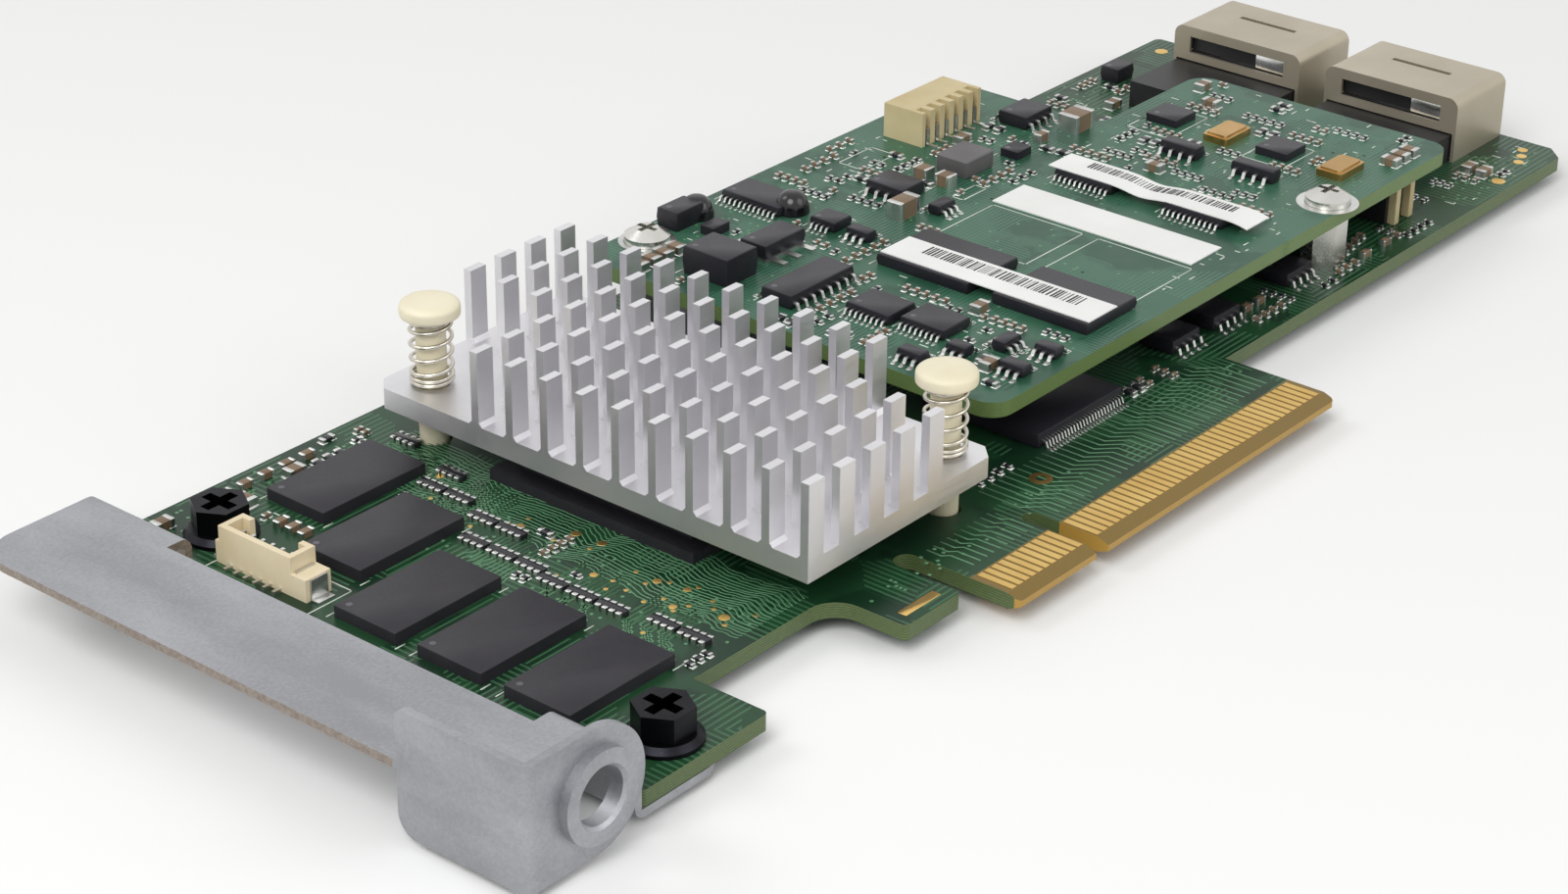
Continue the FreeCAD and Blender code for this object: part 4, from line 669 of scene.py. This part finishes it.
# chip parts: ceramic bodies with tinned ends on their pads; a row is its first
# part's place, how many, and the step to the next, all in mm
chipRows = {
    ("main", "tan"): (
        (-45.6, 66.5, 6, 1.7, 0), (-28, 66.6, 4, 0, -0.9), (-45.4, 60.6, 1, 0, 0), (49.2, 15.2, 4, 1.5, 0),
        (51, 18.2, 3, 1.5, 0), (64.8, 15, 3, 1.6, 0), (68, 17, 5, 1.6, 0.3), (74, 15.4, 3, 1.6, 0),
        (90.8, 46, 3, 0, 1.2), (91, 41.6, 3, 1.4, 0), (86, 51, 4, 0, 1.4), (84, 56, 5, 1.5, 0),
        (72, 52, 4, 1.7, 0), (72, 60, 4, 1.7, 0), (96, 16.4, 3, 0, 1.2), (92.2, 62, 2, 1.6, 0)),
    ("main", "black"): (
        (-45.6, 65.4, 4, 1.7, 0), (-29.5, 65.4, 3, 0, -0.9), (-38.4, 34, 3, 0, 1),
        (-38.4, 24.4, 3, 0, 1), (61, 14.4, 3, 1.6, 0), (78, 14.6, 4, 1.5, 0), (93, 18, 3, 0, 1),
        (76, 64, 4, 1.7, 0), (87.6, 18, 6, 0, 1.3), (80, 60.4, 3, 1.6, 0), (2, 15.4, 4, 1.5, 0),
        (4, 33, 1, 0, 0)),
    ("daughter", "tan"): (
        (19.6, 33, 5, 0, 1.2), (19.4, 46.4, 4, 1.5, 0), (24, 46.4, 3, 1.5, 0), (32.4, 45.9, 3, 0, -1),
        (40.4, 56.6, 4, 0, 1.1), (46, 47.8, 4, 1.5, 0), (60.2, 46.4, 5, 0, -1.1), (70.4, 39.6, 4, 0, 1),
        (79, 40.4, 4, 0, 1.1), (79, 27, 4, 0, 1.1), (70.4, 24.4, 4, 0, 1), (62, 57.9, 4, 1.5, 0),
        (8.8, 41.2, 5, 1.6, 0), (7.6, 22.6, 3, 0, -1), (19.4, 26.8, 4, 0, -1.1), (33.4, 62.4, 4, 0, 1.1),
        (36.6, 64.6, 4, 1.6, 0), (24.8, 57.4, 2, 0, -1.2), (42.6, 66, 3, 1.6, 0), (58.6, 20.4, 4, 0, 1.1)),
    ("daughter", "black"): (
        (8, 42.6, 4, 1.7, 0), (17.2, 26, 3, 1.5, 0), (32.2, 58.4, 4, 0, 1), (45.4, 57.2, 1, 0, 0),
        (62.2, 40.4, 4, 0, 1), (62.2, 31.4, 4, 0, 1), (80.8, 33, 5, 0, 1.1), (83.6, 24, 4, 0, 1.1),
        (83.4, 43.6, 3, 0, -1.1), (48.6, 45.9, 3, 1.6, 0), (20.6, 21.4, 3, 0, -1.1), (70.4, 32, 3, 0, 1),
        (36.6, 60, 3, 1.5, 0), (8, 39.6, 3, 1.6, 0), (61.6, 24.2, 3, 0, 1.1), (66, 44.2, 3, 1.3, 0)),
}
rowSizes = {"tan": (1, 0.5, 0.5), "black": (1, 0.5, 0.35)}
clusters = (  # short rows of small parts: board, corner, far corner, how many rows
    ("daughter", (5.5, 48.5), (66.5, 67.2), 56), ("daughter", (5.5, 16.5), (22, 47.5), 26),
    ("daughter", (58, 33), (87, 47.5), 22), ("daughter", (58, 17), (87, 33), 16),
    ("daughter", (31.5, 45.5), (62, 60), 24), ("main", (-56, 62.5), (-29, 68.3), 24),
    ("main", (-41, 14), (-33, 62.5), 8), ("main", (88.5, 14), (109, 20.4), 4),
    ("main", (69, 49.5), (98, 68.2), 44), ("main", (26, 13.4), (80, 17.6), 16))
clusterSizes = ((1, 0.5, 0.45), (1.6, 0.8, 0.45), (2, 1.25, 0.9), (1, 0.5, 0.35))
clusterBodies = ("tan", "black", "tan", "black")
clusterStep = {"grid": 0.4, "gap": 0.62, "longest": 4}
ceramics = {"tan": (ceramicTan, "tan_plastic"), "black": (ceramicBlack, "chip_plastic")}
partShape = {"end": 0.26, "overlap": 0.9, "inset": 0.015, "lift": 0.02, "padOut": 0.14, "padSide": 0.06,
             "padHigh": 0.05}  # the end and its overlap are shares, the rest mm
usable = {"main": (-56.6, 13.3, 108, 68.4), "daughter": (4.9, 15.9, 87.6, 67.6)}  # clear of the edges
daughterNotch = (67.6, 48.1)  # the board's far corner is cut away from here on


def takenPlaces():
    # plan boxes in mm of every solid that stands on each board, which is one that
    # starts less than 0.3 mm above its top and ends more than 0.05 mm above it
    places = {"main": [], "daughter": []}
    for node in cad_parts:
        if node in ("main_board", "daughter_board", "bracket", "edge_contacts"):
            continue
        for low, high in zip(*solidsOf(node)):
            low, high = low / mm, high / mm
            for board, level in levels.items():
                stands = low[2] < level + 0.3 and high[2] > level + 0.05
                if stands or (board == "main" and node == "heat_sink"):
                    places[board].append((low[0], low[1], high[0], high[1]))
    return places


taken = takenPlaces()


def takePlace(board, x, y, dx, dy, margin=0.3):
    # true where nothing stands yet and the board goes on; the place is then kept
    there = np.array(taken[board])
    x0, y0, x1, y1 = x - dx / 2 - margin, y - dy / 2 - margin, x + dx / 2 + margin, y + dy / 2 + margin
    left, near, right, far = usable[board]
    outside = x0 < left or y0 < near or x1 > right or y1 > far
    notched = board == "daughter" and x1 > daughterNotch[0] and y1 > daughterNotch[1]
    filled = (there[:, 0] < x1) & (there[:, 2] > x0) & (there[:, 1] < y1) & (there[:, 3] > y0)
    if outside or notched or filled.any():
        return False
    taken[board].append((x - dx / 2, y - dy / 2, x + dx / 2, y + dy / 2))
    return True


def placedParts():
    # board, body colour, lies along X, size and middle of each part that finds room
    wanted = []
    for (board, body), rows in chipRows.items():
        for x, y, count, stepX, stepY in rows:
            lying = abs(stepX) <= abs(stepY)  # parts lie across their row
            wanted.extend((board, body, lying, rowSizes[body], x + k * stepX, y + k * stepY)
                          for k in range(count))
    grid = clusterStep["grid"]
    for board, near, far, count in clusters:
        xs, ys = rng.uniform(near[0], far[0], count), rng.uniform(near[1], far[1], count)
        kinds, turns = rng.integers(0, len(clusterSizes), count), rng.random(count) > 0.5
        lengths = rng.integers(1, clusterStep["longest"] + 1, count)
        for x, y, kind, turn, length in zip(xs, ys, kinds, turns, lengths):
            step = clusterSizes[kind][1] + clusterStep["gap"]
            x, y = round(x / grid) * grid, round(y / grid) * grid
            stepX, stepY = (0, step) if turn else (step, 0)
            wanted.extend((board, clusterBodies[kind], bool(turn), clusterSizes[kind],
                           x + k * stepX, y + k * stepY) for k in range(length))
    kept = []
    for entry in wanted:
        board, body, lying, (long, wide, high), x, y = entry
        if takePlace(board, x, y, *((long, wide) if lying else (wide, long))):
            kept.append(entry)
    return kept


def chipParts():
    # a ceramic body between two wrapped ends on their pads, each block rounded
    entries = placedParts()
    boards, colours, lying, sizes, xs, ys = (np.array(column) for column in zip(*entries))
    level = np.where(boards == "main", levels["main"], levels["daughter"])
    middle = np.stack([xs, ys, level], -1)
    along = np.where(lying[:, None], [1.0, 0, 0], [0, 1.0, 0])
    across = along[:, [1, 0, 2]]
    up = np.array([0, 0, 1.0])
    reach, wide, high = sizes[:, :1], sizes[:, 1:2], sizes[:, 2:]
    half = along * reach / 2 + across * wide / 2
    low, top = middle - half + up * partShape["lift"], middle + half + up * high
    end = reach * partShape["end"]
    trim = along * end * partShape["overlap"] + across * partShape["inset"]
    for colour, finish in ceramics.items():
        chosen = colours == colour
        bodyTop = (top - trim - up * partShape["lift"])[chosen]
        body = roundedBlocks((low + trim)[chosen] * mm, bodyTop * mm, softRings(0.04), 0.04, 1)
        newPiece(colour + "_chip_parts", *body, *finish, 40)
    ends, pads = [], []
    spread = along * partShape["padOut"] + across * partShape["padSide"]
    for a, b in ((low, top - along * (reach - end)), (low + along * (reach - end), top)):
        ends.append(roundedBlocks(a * mm, b * mm, softRings(0.05), 0.05, 1))
        a, b = a - spread, b + spread
        a[:, 2], b[:, 2] = level, level + partShape["padHigh"]
        pads.append(roundedBlocks(a * mm, b * mm, slabRings(0.04), 0.04, 1))
    newPiece("chip_part_ends", *joined(ends + pads), tin, "tinned_lead", 40)
    print("small parts", len(entries))


# the CAD's own chip capacitors, resistors and arrays, with wrapped ends
capShape = {"end": 0.2, "sink": 0.02}
arrayShape = {"gap": 0.3, "inset": 0.4, "end": 0.46, "halfEnd": 0.26, "ends": 4}


def longerAxis(low, high):
    # 0 where a box is longer along X, 1 where along Y
    return 0 if high[0] - low[0] > high[1] - low[1] else 1


def cadCapacitors(ends):
    # a body between two ends, each a share of the part's longer side
    bodies = []
    for node in ("chip_capacitors", "small_parts"):
        for low, high in zip(*solidsOf(node)):
            axis = longerAxis(low, high)
            share = np.zeros(3)
            share[axis] = (high[axis] - low[axis]) * capShape["end"]
            rest = (high - low) * (np.arange(3) == axis) - share
            bodies.append(roundedBlocks(low + share, high - share - [0, 0, capShape["sink"] * mm],
                                        softRings(0.06), 0.06, 1))
            ends.append(roundedBlocks(low, high - rest, softRings(0.08), 0.1, 2))
            ends.append(roundedBlocks(low + rest, high, softRings(0.08), 0.1, 2))
    newPiece("chip_capacitor_bodies", *joined(bodies), ceramicTan, "tan_plastic", 40,
             ("chip_capacitors", "small_parts"))


def cadArrays(ends):
    # a body with four ends on each long side; the row goes on beside each array
    # where there is room
    arrays = list(zip(*solidsOf("resistor_arrays")))
    for low, high in list(arrays):
        for step in (-1, 1):
            shift = np.array([0, step * (high[1] - low[1] + arrayShape["gap"] * mm), 0])
            middle = ((low + high) / 2 + shift) / mm
            if takePlace("main", middle[0], middle[1], *((high - low)[:2] / mm), 0.1):
                arrays.append((low + shift, high + shift))
    bodies = []
    for low, high in arrays:
        axis = longerAxis(low, high)
        cross = 1 - axis
        inset = np.zeros(3)
        inset[cross] = arrayShape["inset"] * mm
        bodies.append(roundedBlocks(low + inset, high - inset, softRings(0.04), 0.05, 1))
        count, halfEnd, endLong = arrayShape["ends"], arrayShape["halfEnd"] * mm, arrayShape["end"] * mm
        centres = low[axis] + (np.arange(count) + 0.5) * (high[axis] - low[axis]) / count
        for start in (low[cross], high[cross] - endLong):
            a, b = np.tile(low, (count, 1)), np.tile(high, (count, 1))
            a[:, axis], b[:, axis] = centres - halfEnd, centres + halfEnd
            a[:, cross], b[:, cross] = start, start + endLong
            ends.append(roundedBlocks(a, b, softRings(0.06), 0.06, 1))
    newPiece("resistor_array_bodies", *joined(bodies), ceramicBlack, "chip_plastic", 40,
             ("resistor_arrays",))


wrappedEnds = []
cadCapacitors(wrappedEnds)
cadArrays(wrappedEnds)
newPiece("wrapped_ends", *joined(wrappedEnds), tin, "tinned_lead", 40)
chipParts()


# blocks with their own finish
def finishedBlock(node, material, slot, rings, corner):
    # a node's blocks as rounded rectangles carried up through the rings given
    block = roundedBlocks(*solidsOf(node), rings, corner, 4)
    newPiece(node + "_finished", *block, material, slot, 40, (node,))


finishedBlock("inductor", ferrite, "grey_ferrite",
              [(0.1, 0, 0), (0, 0.12, 0), (0, 0.93, 0), (0.12, 1, 0)], 0.25)
finishedBlock("crystals", crystalGold, "ceramic_can",
              [(0, 0, 0), (0, 0.75, 0), (0.3, 0.8, 0), (0.34, 1, 0)], 0.35)

glueShape = {"radius": 1.84, "high": 2.28, "reach": 1.86, "fullness": 0.7}


def glueDomes():
    # cured drops: radius falls as a cosine to a power below one and height climbs as
    # a sine, so the foot is steep and the crown is full
    lows, highs = solidsOf("glue_drops")
    spots = np.stack([highs[:, 0] - glueShape["reach"] * mm, (lows[:, 1] + highs[:, 1]) / 2, lows[:, 2]], -1)
    rise = np.linspace(0, 0.5 * math.pi, 14)[:-1]
    profile = np.stack([glueShape["radius"] * np.cos(rise) ** glueShape["fullness"],
                        glueShape["high"] * np.sin(rise)], -1)
    newPiece("glue_domes", *turnedBodies(profile, spots, 36), glueBlack, "black_epoxy", 60, ("glue_drops",))


glueDomes()

# lowest and highest corner from the shell's own lowest corner, in mm
socketBack = {"wall": (0.6, 1.9, 4.6, 1.3, 15.4, 6.9), "flap": (0.42, 2.4, 4.5, 0.56, 6.2, 6.15)}


def socketBacks():
    # behind each shell's rear window: the moulding's wall, and a bright spring flap
    walls, flaps = [], []
    for number in (1, 2):
        corner = np.tile(inMm(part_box("sas_shell_%d" % number))[0], 2)
        walls.append(roundedBlocks(*box(*(corner + socketBack["wall"])), slabRings(), 0.1))
        flaps.append(roundedBlocks(*box(*(corner + socketBack["flap"])),
                                   [(0.05, 0, 0), (0, 0.06, 0), (0, 0.94, 0), (0.05, 1, 0)], 0.06))
    newPiece("socket_back_walls", *joined(walls), blackPart, "chip_plastic", 30)
    newPiece("socket_flaps", *joined(flaps), flapSteel, "nickel_plated_shell", 30)


socketBacks()
print("small parts and blocks ready")

# pads, rings and vias on the boards, in mm
padSets = {
    "fixed": (
        (-32, 17.4, 0.55), (-29.4, 54.4, 0.4), (-31.6, 42.1, 0.5), (-29.3, 37.3, 0.5), (-29.1, 34.3, 0.5),
        (98, 14.6, 0.8), (104.4, 15.6, 0.6), (106.2, 16.2, 0.6), (107.9, 17, 0.6), (107, 66, 0.8),
        (-31, 26, 0.45), (-33.8, 31, 0.4), (-30.4, 23, 0.4), (-33.5, 22, 0.4)),
    "loose": (-39, 15, -29.5, 61, 46), "looseRadius": 0.24, "grid": 0.5, "thick": 0.02, "sink": 0.005,
    "bar": (-21.6, 5.6, -16.6, 6.6), "barHigh": 0.03, "ring": (6.7, 11.7), "ringHigh": 0.024}
viaShape = {"radius": 0.2, "high": 0.012, "grid": 0.5}
viaZones = (  # board, corner, far corner, how many
    ("main", -40, 14, -30, 62, 150), ("main", -22, 8, 10, 11, 40), ("main", 26, 9, 39, 12.5, 26),
    ("main", 90, 14, 108, 20, 46), ("main", 70, 50, 92, 66, 110), ("daughter", 6, 17, 86, 47, 260),
    ("daughter", 6, 48, 66, 66, 150), ("main", -56, 64, -30, 68, 40), ("main", 62, 62, 96, 68, 30))


def goldPads():
    # thin discs, the loose ones where they find room, and one plain bar
    level, grid, thick = levels["main"], padSets["grid"], padSets["thick"]
    dots = list(padSets["fixed"])
    x0, y0, x1, y1, count = padSets["loose"]
    for x, y in zip(rng.uniform(x0, x1, count), rng.uniform(y0, y1, count)):
        x, y = round(x / grid) * grid, round(y / grid) * grid
        if takePlace("main", x, y, grid, grid, 0.1):
            dots.append((x, y, padSets["looseRadius"]))
    discs = [turnedBodies([(radius, -padSets["sink"]), (radius, thick), (radius * 0.9, thick + 0.004)],
                          np.array([[x, y, level]]) * mm, 18) for x, y, radius in dots]
    newPiece("gold_pads", *joined(discs), gold, "gold_contact", 0)
    x0, y0, x1, y1 = padSets["bar"]
    low, high = box(x0, y0, level, x1, y1, level + padSets["barHigh"])
    newPiece("gold_bar", *roundedBlocks(low, high, slabRings(0.02), 0.1), gold, "gold_contact", 0)


def copperRings():
    # flat rings: one on the main board, one round each standoff screw
    lows, highs = solidsOf("standoff_screws")
    screws = (lows + highs) / 2 / mm
    near, far = screws[np.argsort(-screws[:, 0])]
    for name, spot, inner, outer, board, material in (
            ("copper_ring", padSets["ring"], 0.5, 1.15, "main", crystalGold),
            ("stack_ring_near", near, 2.45, 3.3, "daughter", tin),
            ("stack_ring_far", far, 2.45, 3.0, "daughter", tin)):
        top = padSets["ringHigh"]
        profile = [(inner, -laid), (inner, top), (outer, top), (outer, -laid), (inner, -laid)]
        points, faces = turnedBodies(profile, np.array([[spot[0], spot[1], levels[board]]]) * mm)
        newPiece(name, points, faces[:1], material, "tinned_lead", 30)


def viaCaps():
    # small lacquered bumps on the grid of the vias
    radius, high, grid = viaShape["radius"], viaShape["high"], viaShape["grid"]
    spots = []
    for board, x0, y0, x1, y1, count in viaZones:
        xs, ys = rng.uniform(x0, x1, count), rng.uniform(y0, y1, count)
        spots.append(np.stack([np.round(xs / grid) * grid, np.round(ys / grid) * grid,
                               np.full(count, levels[board])], -1))
    profile = [(radius, -laid), (radius, high), (radius / 2, high + 0.002)]
    bumps = turnedBodies(profile, np.concatenate(spots) * mm, 8)
    newPiece("via_caps", *bumps, trackGreen, "solder_mask_board", 0)


# silkscreen: corners by the chips, plain outlines and short dashes
silkShape = {"line": 0.14, "dash": 0.16, "shortest": 0.5, "longest": 1.1, "high": 0.02, "grow": 0.45,
             "arm": 1.2, "armShare": 0.3}
silkOutlines = (
    ("daughter", 32.2, 19, 42.4, 30.6), ("daughter", 32.2, 32.4, 42.4, 44),
    ("daughter", 40.6, 60, 46.4, 63.4), ("daughter", 41.2, 47, 45.4, 48.6),
    ("daughter", 69.6, 40.3, 77.6, 45.9), ("daughter", 70.6, 26.2, 77.2, 31.6),
    ("main", -56, 45, -49.6, 58.2))
silkDashes = (  # board, corner, far corner, how many, where a maker puts part marks
    ("daughter", 30, 17, 60, 19, 14), ("daughter", 6, 60, 66, 67, 34), ("daughter", 60, 20, 87, 47, 44),
    ("daughter", 6, 20, 22, 42, 22), ("main", 88, 14, 109, 20, 12), ("main", -56, 58, -44, 68, 8),
    ("main", 70, 50, 97, 67, 30))


def chipCorners():
    # short strokes past the corners of each chip that stands on a board's top
    wide, grow = silkShape["line"], silkShape["grow"]
    strips = []
    for node, chips in list(leadedChips.items()) + list(plainChips.items()):
        if node in ("lower_chips", "quad_chip"):
            continue
        for low, high in zip(*chips):
            x0, y0, x1, y1 = low[0] / mm, low[1] / mm, high[0] / mm, high[1] / mm
            z = levels["daughter" if low[2] / mm > levels["main"] + 3 else "main"]
            reach = min(silkShape["arm"], (x1 - x0) * silkShape["armShare"])
            for start, end in ((x0 - grow, x0 - grow + reach), (x1 + grow - reach, x1 + grow)):
                if node.startswith("memory_chip"):
                    strips.append((start, y0 - grow, z, end, y0 - grow + wide))
                strips.append((start, y1 + grow, z, end, y1 + grow + wide))
    return strips


def silkscreen():
    # every stroke is a thin slab between two corners in plan, laid on its board
    strips = chipCorners()
    wide, dash = silkShape["line"], silkShape["dash"]
    for board, x0, y0, x1, y1 in silkOutlines:
        z = levels[board]
        strips += [(x0, y0, z, x1, y0 + wide), (x0, y1 - wide, z, x1, y1), (x0, y0, z, x0 + wide, y1),
                   (x1 - wide, y0, z, x1, y1)]
    for board, x0, y0, x1, y1, count in silkDashes:
        xs, ys = rng.uniform(x0, x1, count), rng.uniform(y0, y1, count)
        longs = rng.uniform(silkShape["shortest"], silkShape["longest"], count)
        turns = rng.random(count) > 0.5
        for x, y, long, turned in zip(xs, ys, longs, turns):
            stepX, stepY = (dash, long) if turned else (long, dash)
            strips.append((x, y, levels[board], x + stepX, y + stepY))
    strips = np.array(strips)
    lows, highs = strips[:, :3] * mm, strips[:, [3, 4, 2]] * mm
    lows[:, 2] -= laid * mm
    highs[:, 2] += silkShape["high"] * mm
    marks = roundedBlocks(lows, highs, slabRings(), 0.02, 1)
    newPiece("silkscreen_marks", *marks, silkWhite, "label_paper", 0)


goldPads()
copperRings()
viaCaps()
silkscreen()


# tracks: flat ribbons from the memory chips to the sink, and up from the contacts
def ribbons(paths, width, thick=0.016):
    # each path is a row of points; its ribbon is a thin slab set out sideways
    parts = []
    for path in paths:
        path = np.asarray(path, float)
        ahead = np.gradient(path[:, :2], axis=0)
        ahead /= np.maximum(np.linalg.norm(ahead, axis=1)[:, None], 1e-9)
        side = np.stack([-ahead[:, 1], ahead[:, 0], np.zeros(len(path))], -1) * width / 2
        up = np.array([0, 0, thick])
        ring = np.stack([path - side + up, path + side + up, path + side, path - side], 1)
        parts.append((ring.reshape(-1, 3) * mm, tubeFaces(1, len(path), 4)))
    return joined(parts)


trackShape = {"wide": 0.2, "perChip": 12, "first": 0.6, "pitch": 0.58, "towards": 38.0, "squeeze": 0.12,
              "jog": 0.7, "jogStep": 0.55, "jogs": 4, "slant": 0.8, "length": 6.0, "end": -27.4}
contactTracks = (  # first X, how many, start, rise, more rise each time, sideways step, end
    (2.5, 36, 6.6, 1.6, 0.11, 1.6, 14.6), (-10.5, 10, 6.6, 2.6, 0.0, 0.6, 11.4))


def trackRuns():
    # from a chip's side: out, a slant that closes the row up, and on; from a contact:
    # up, a slant to the side, and up again
    shape, level = trackShape, levels["main"]
    paths = []
    for chip in range(1, 6):
        low, high = inMm(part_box("memory_chip_%d" % chip))
        for k in range(shape["perChip"]):
            y = low[1] + shape["first"] + k * shape["pitch"]
            bendY = y + (shape["towards"] - y) * shape["squeeze"]
            bend = high[0] + shape["jog"] + (k % shape["jogs"]) * shape["jogStep"]
            end = min(bend + shape["length"], shape["end"])
            paths.append([(high[0], y, level), (bend, y, level), (bend + shape["slant"], bendY, level),
                          (end, bendY, level)])
    for first, count, start, rise, more, step, end in contactTracks:
        for k in range(count):
            x, bend = first + k, start + rise + more * k
            paths.append([(x, start, level), (x, bend, level), (x - step, bend + step, level),
                          (x - step, end, level)])
    newPiece("copper_tracks", *ribbons(paths, shape["wide"]), trackGreen, "solder_mask_board", 0)


meanders = {"left": -33.6, "pitch": 0.47, "lines": 20, "near": 14.2, "far": 63.0, "sway": 0.7, "knot": 2.2,
            "slant": 0.16, "tooth": 0.9, "toothHigh": 0.13, "wave": 0.42, "turned": 0.1, "wide": 0.15,
            "step": 0.3}


def meanderRuns():
    # lines side by side between the memory and the sink that sway together, some of
    # them with the small square turns that match their lengths
    y = np.arange(meanders["near"], meanders["far"], meanders["step"])
    knots = np.arange(meanders["near"] - 4, meanders["far"] + 6, meanders["knot"])
    swayAt = rng.uniform(-meanders["sway"], meanders["sway"], len(knots))
    paths = []
    for k in range(meanders["lines"]):
        x = meanders["left"] + meanders["pitch"] * k + np.interp(y + meanders["slant"] * k, knots, swayAt)
        teeth = np.floor(y / meanders["tooth"]) % 2
        turned = teeth * (np.sin(y * meanders["wave"] + k) > meanders["turned"])
        x = x + meanders["toothHigh"] * turned
        paths.append(np.stack([x, y, np.full(len(y), levels["main"])], -1))
    newPiece("matched_tracks", *ribbons(paths, meanders["wide"]), trackGreen, "solder_mask_board", 0)


tabShape = {"inset": 0.5, "gap": 0.02, "thick": 0.18, "foot": 0.98, "high": 2.1}


def headerTabs():
    # folded solder tabs at both ends of the wire header: an upright leaf and a foot
    low, high = inMm(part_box("wire_header"))
    x0, x1, z = low[0] + tabShape["inset"], high[0] - tabShape["inset"], levels["main"]
    tabs = []
    for reach, top in ((tabShape["thick"], tabShape["high"]), (tabShape["foot"], tabShape["thick"])):
        near, far = low[1] - tabShape["gap"], high[1] + tabShape["gap"]
        tabs += [(x0, near - reach, z, x1, near, z + top), (x0, far, z, x1, far + reach, z + top)]
    rings = [(0.02, 0, 0), (0, 0.1, 0), (0, 0.9, 0), (0.03, 1, 0)]
    parts = [roundedBlocks(*box(*tab), rings, 0.05) for tab in tabs]
    newPiece("header_tab_folds", *joined(parts), tin, "tinned_lead", 30)


trackRuns()
meanderRuns()
headerTabs()
print("board detail ready")

# labels: plain bars of no code, and paper that bows where nothing carries it
labelShape = {"sag": 0.4, "sagAt": 0.53, "sagWide": 0.09, "droop": 0.35, "droopWide": 0.1, "thick": 0.11,
              "inset": 0.02, "lift": 0.004}
barShape = {"widths": [0.09, 0.16, 0.24], "gaps": [0.12, 0.18, 0.28], "start": 3.2, "end": 3.6,
            "high": 0.012}  # mm
barredLabels = (("lower_label", 0.5, 0.52), ("upper_label", 0.6, 0.5))  # inset in mm, share of the width


def labelDip(node, share):
    # mm by which the bowed label hangs below its chips along its length: a bell
    # between the two chips and a rising square past the near end
    if node == "lower_label":
        return 0.0 * share
    sag = labelShape["sag"] * np.exp(-((share - labelShape["sagAt"]) / labelShape["sagWide"]) ** 2)
    past = np.clip((labelShape["droopWide"] - share) / labelShape["droopWide"], 0, 1)
    return sag + labelShape["droop"] * past ** 2


def labelBars():
    # thin slabs of three widths and three gaps by chance, which say nothing
    lows, highs = [], []
    for node, inset, part in barredLabels:
        low, high = inMm(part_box(node))
        y, end = low[1] + barShape["start"], high[1] - barShape["end"]
        middle = high[0] - (high[0] - low[0]) * part
        while y < end:
            wide = rng.choice(barShape["widths"])
            level = high[2] - labelDip(node, (y - low[1]) / (high[1] - low[1]))
            lows.append((middle, y, level - laid))
            highs.append((high[0] - inset, y + wide, level + barShape["high"]))
            y += wide + rng.choice(barShape["gaps"])
    bars = roundedBlocks(np.array(lows) * mm, np.array(highs) * mm, slabRings(), 0.01, 1)
    newPiece("label_bars", *bars, ink, "chip_plastic", 0)


def bowedLabel():
    # a strip of paper carried along the label's length and lowered by its dip
    low, high = inMm(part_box("upper_label"))
    y = np.linspace(low[1], high[1], 61)
    level = low[2] + labelShape["lift"] - labelDip("upper_label", (y - low[1]) / (high[1] - low[1]))
    path = np.stack([np.full(len(y), (low[0] + high[0]) / 2), y, level], -1)
    strip = ribbons([path], high[0] - low[0] - labelShape["inset"], labelShape["thick"])
    newPiece("bowed_label", *strip, paper, "label_paper", 60, ("upper_label",))


labelBars()
bowedLabel()
print("labels ready")

bpy.context.scene.view_settings.view_transform = "Standard"
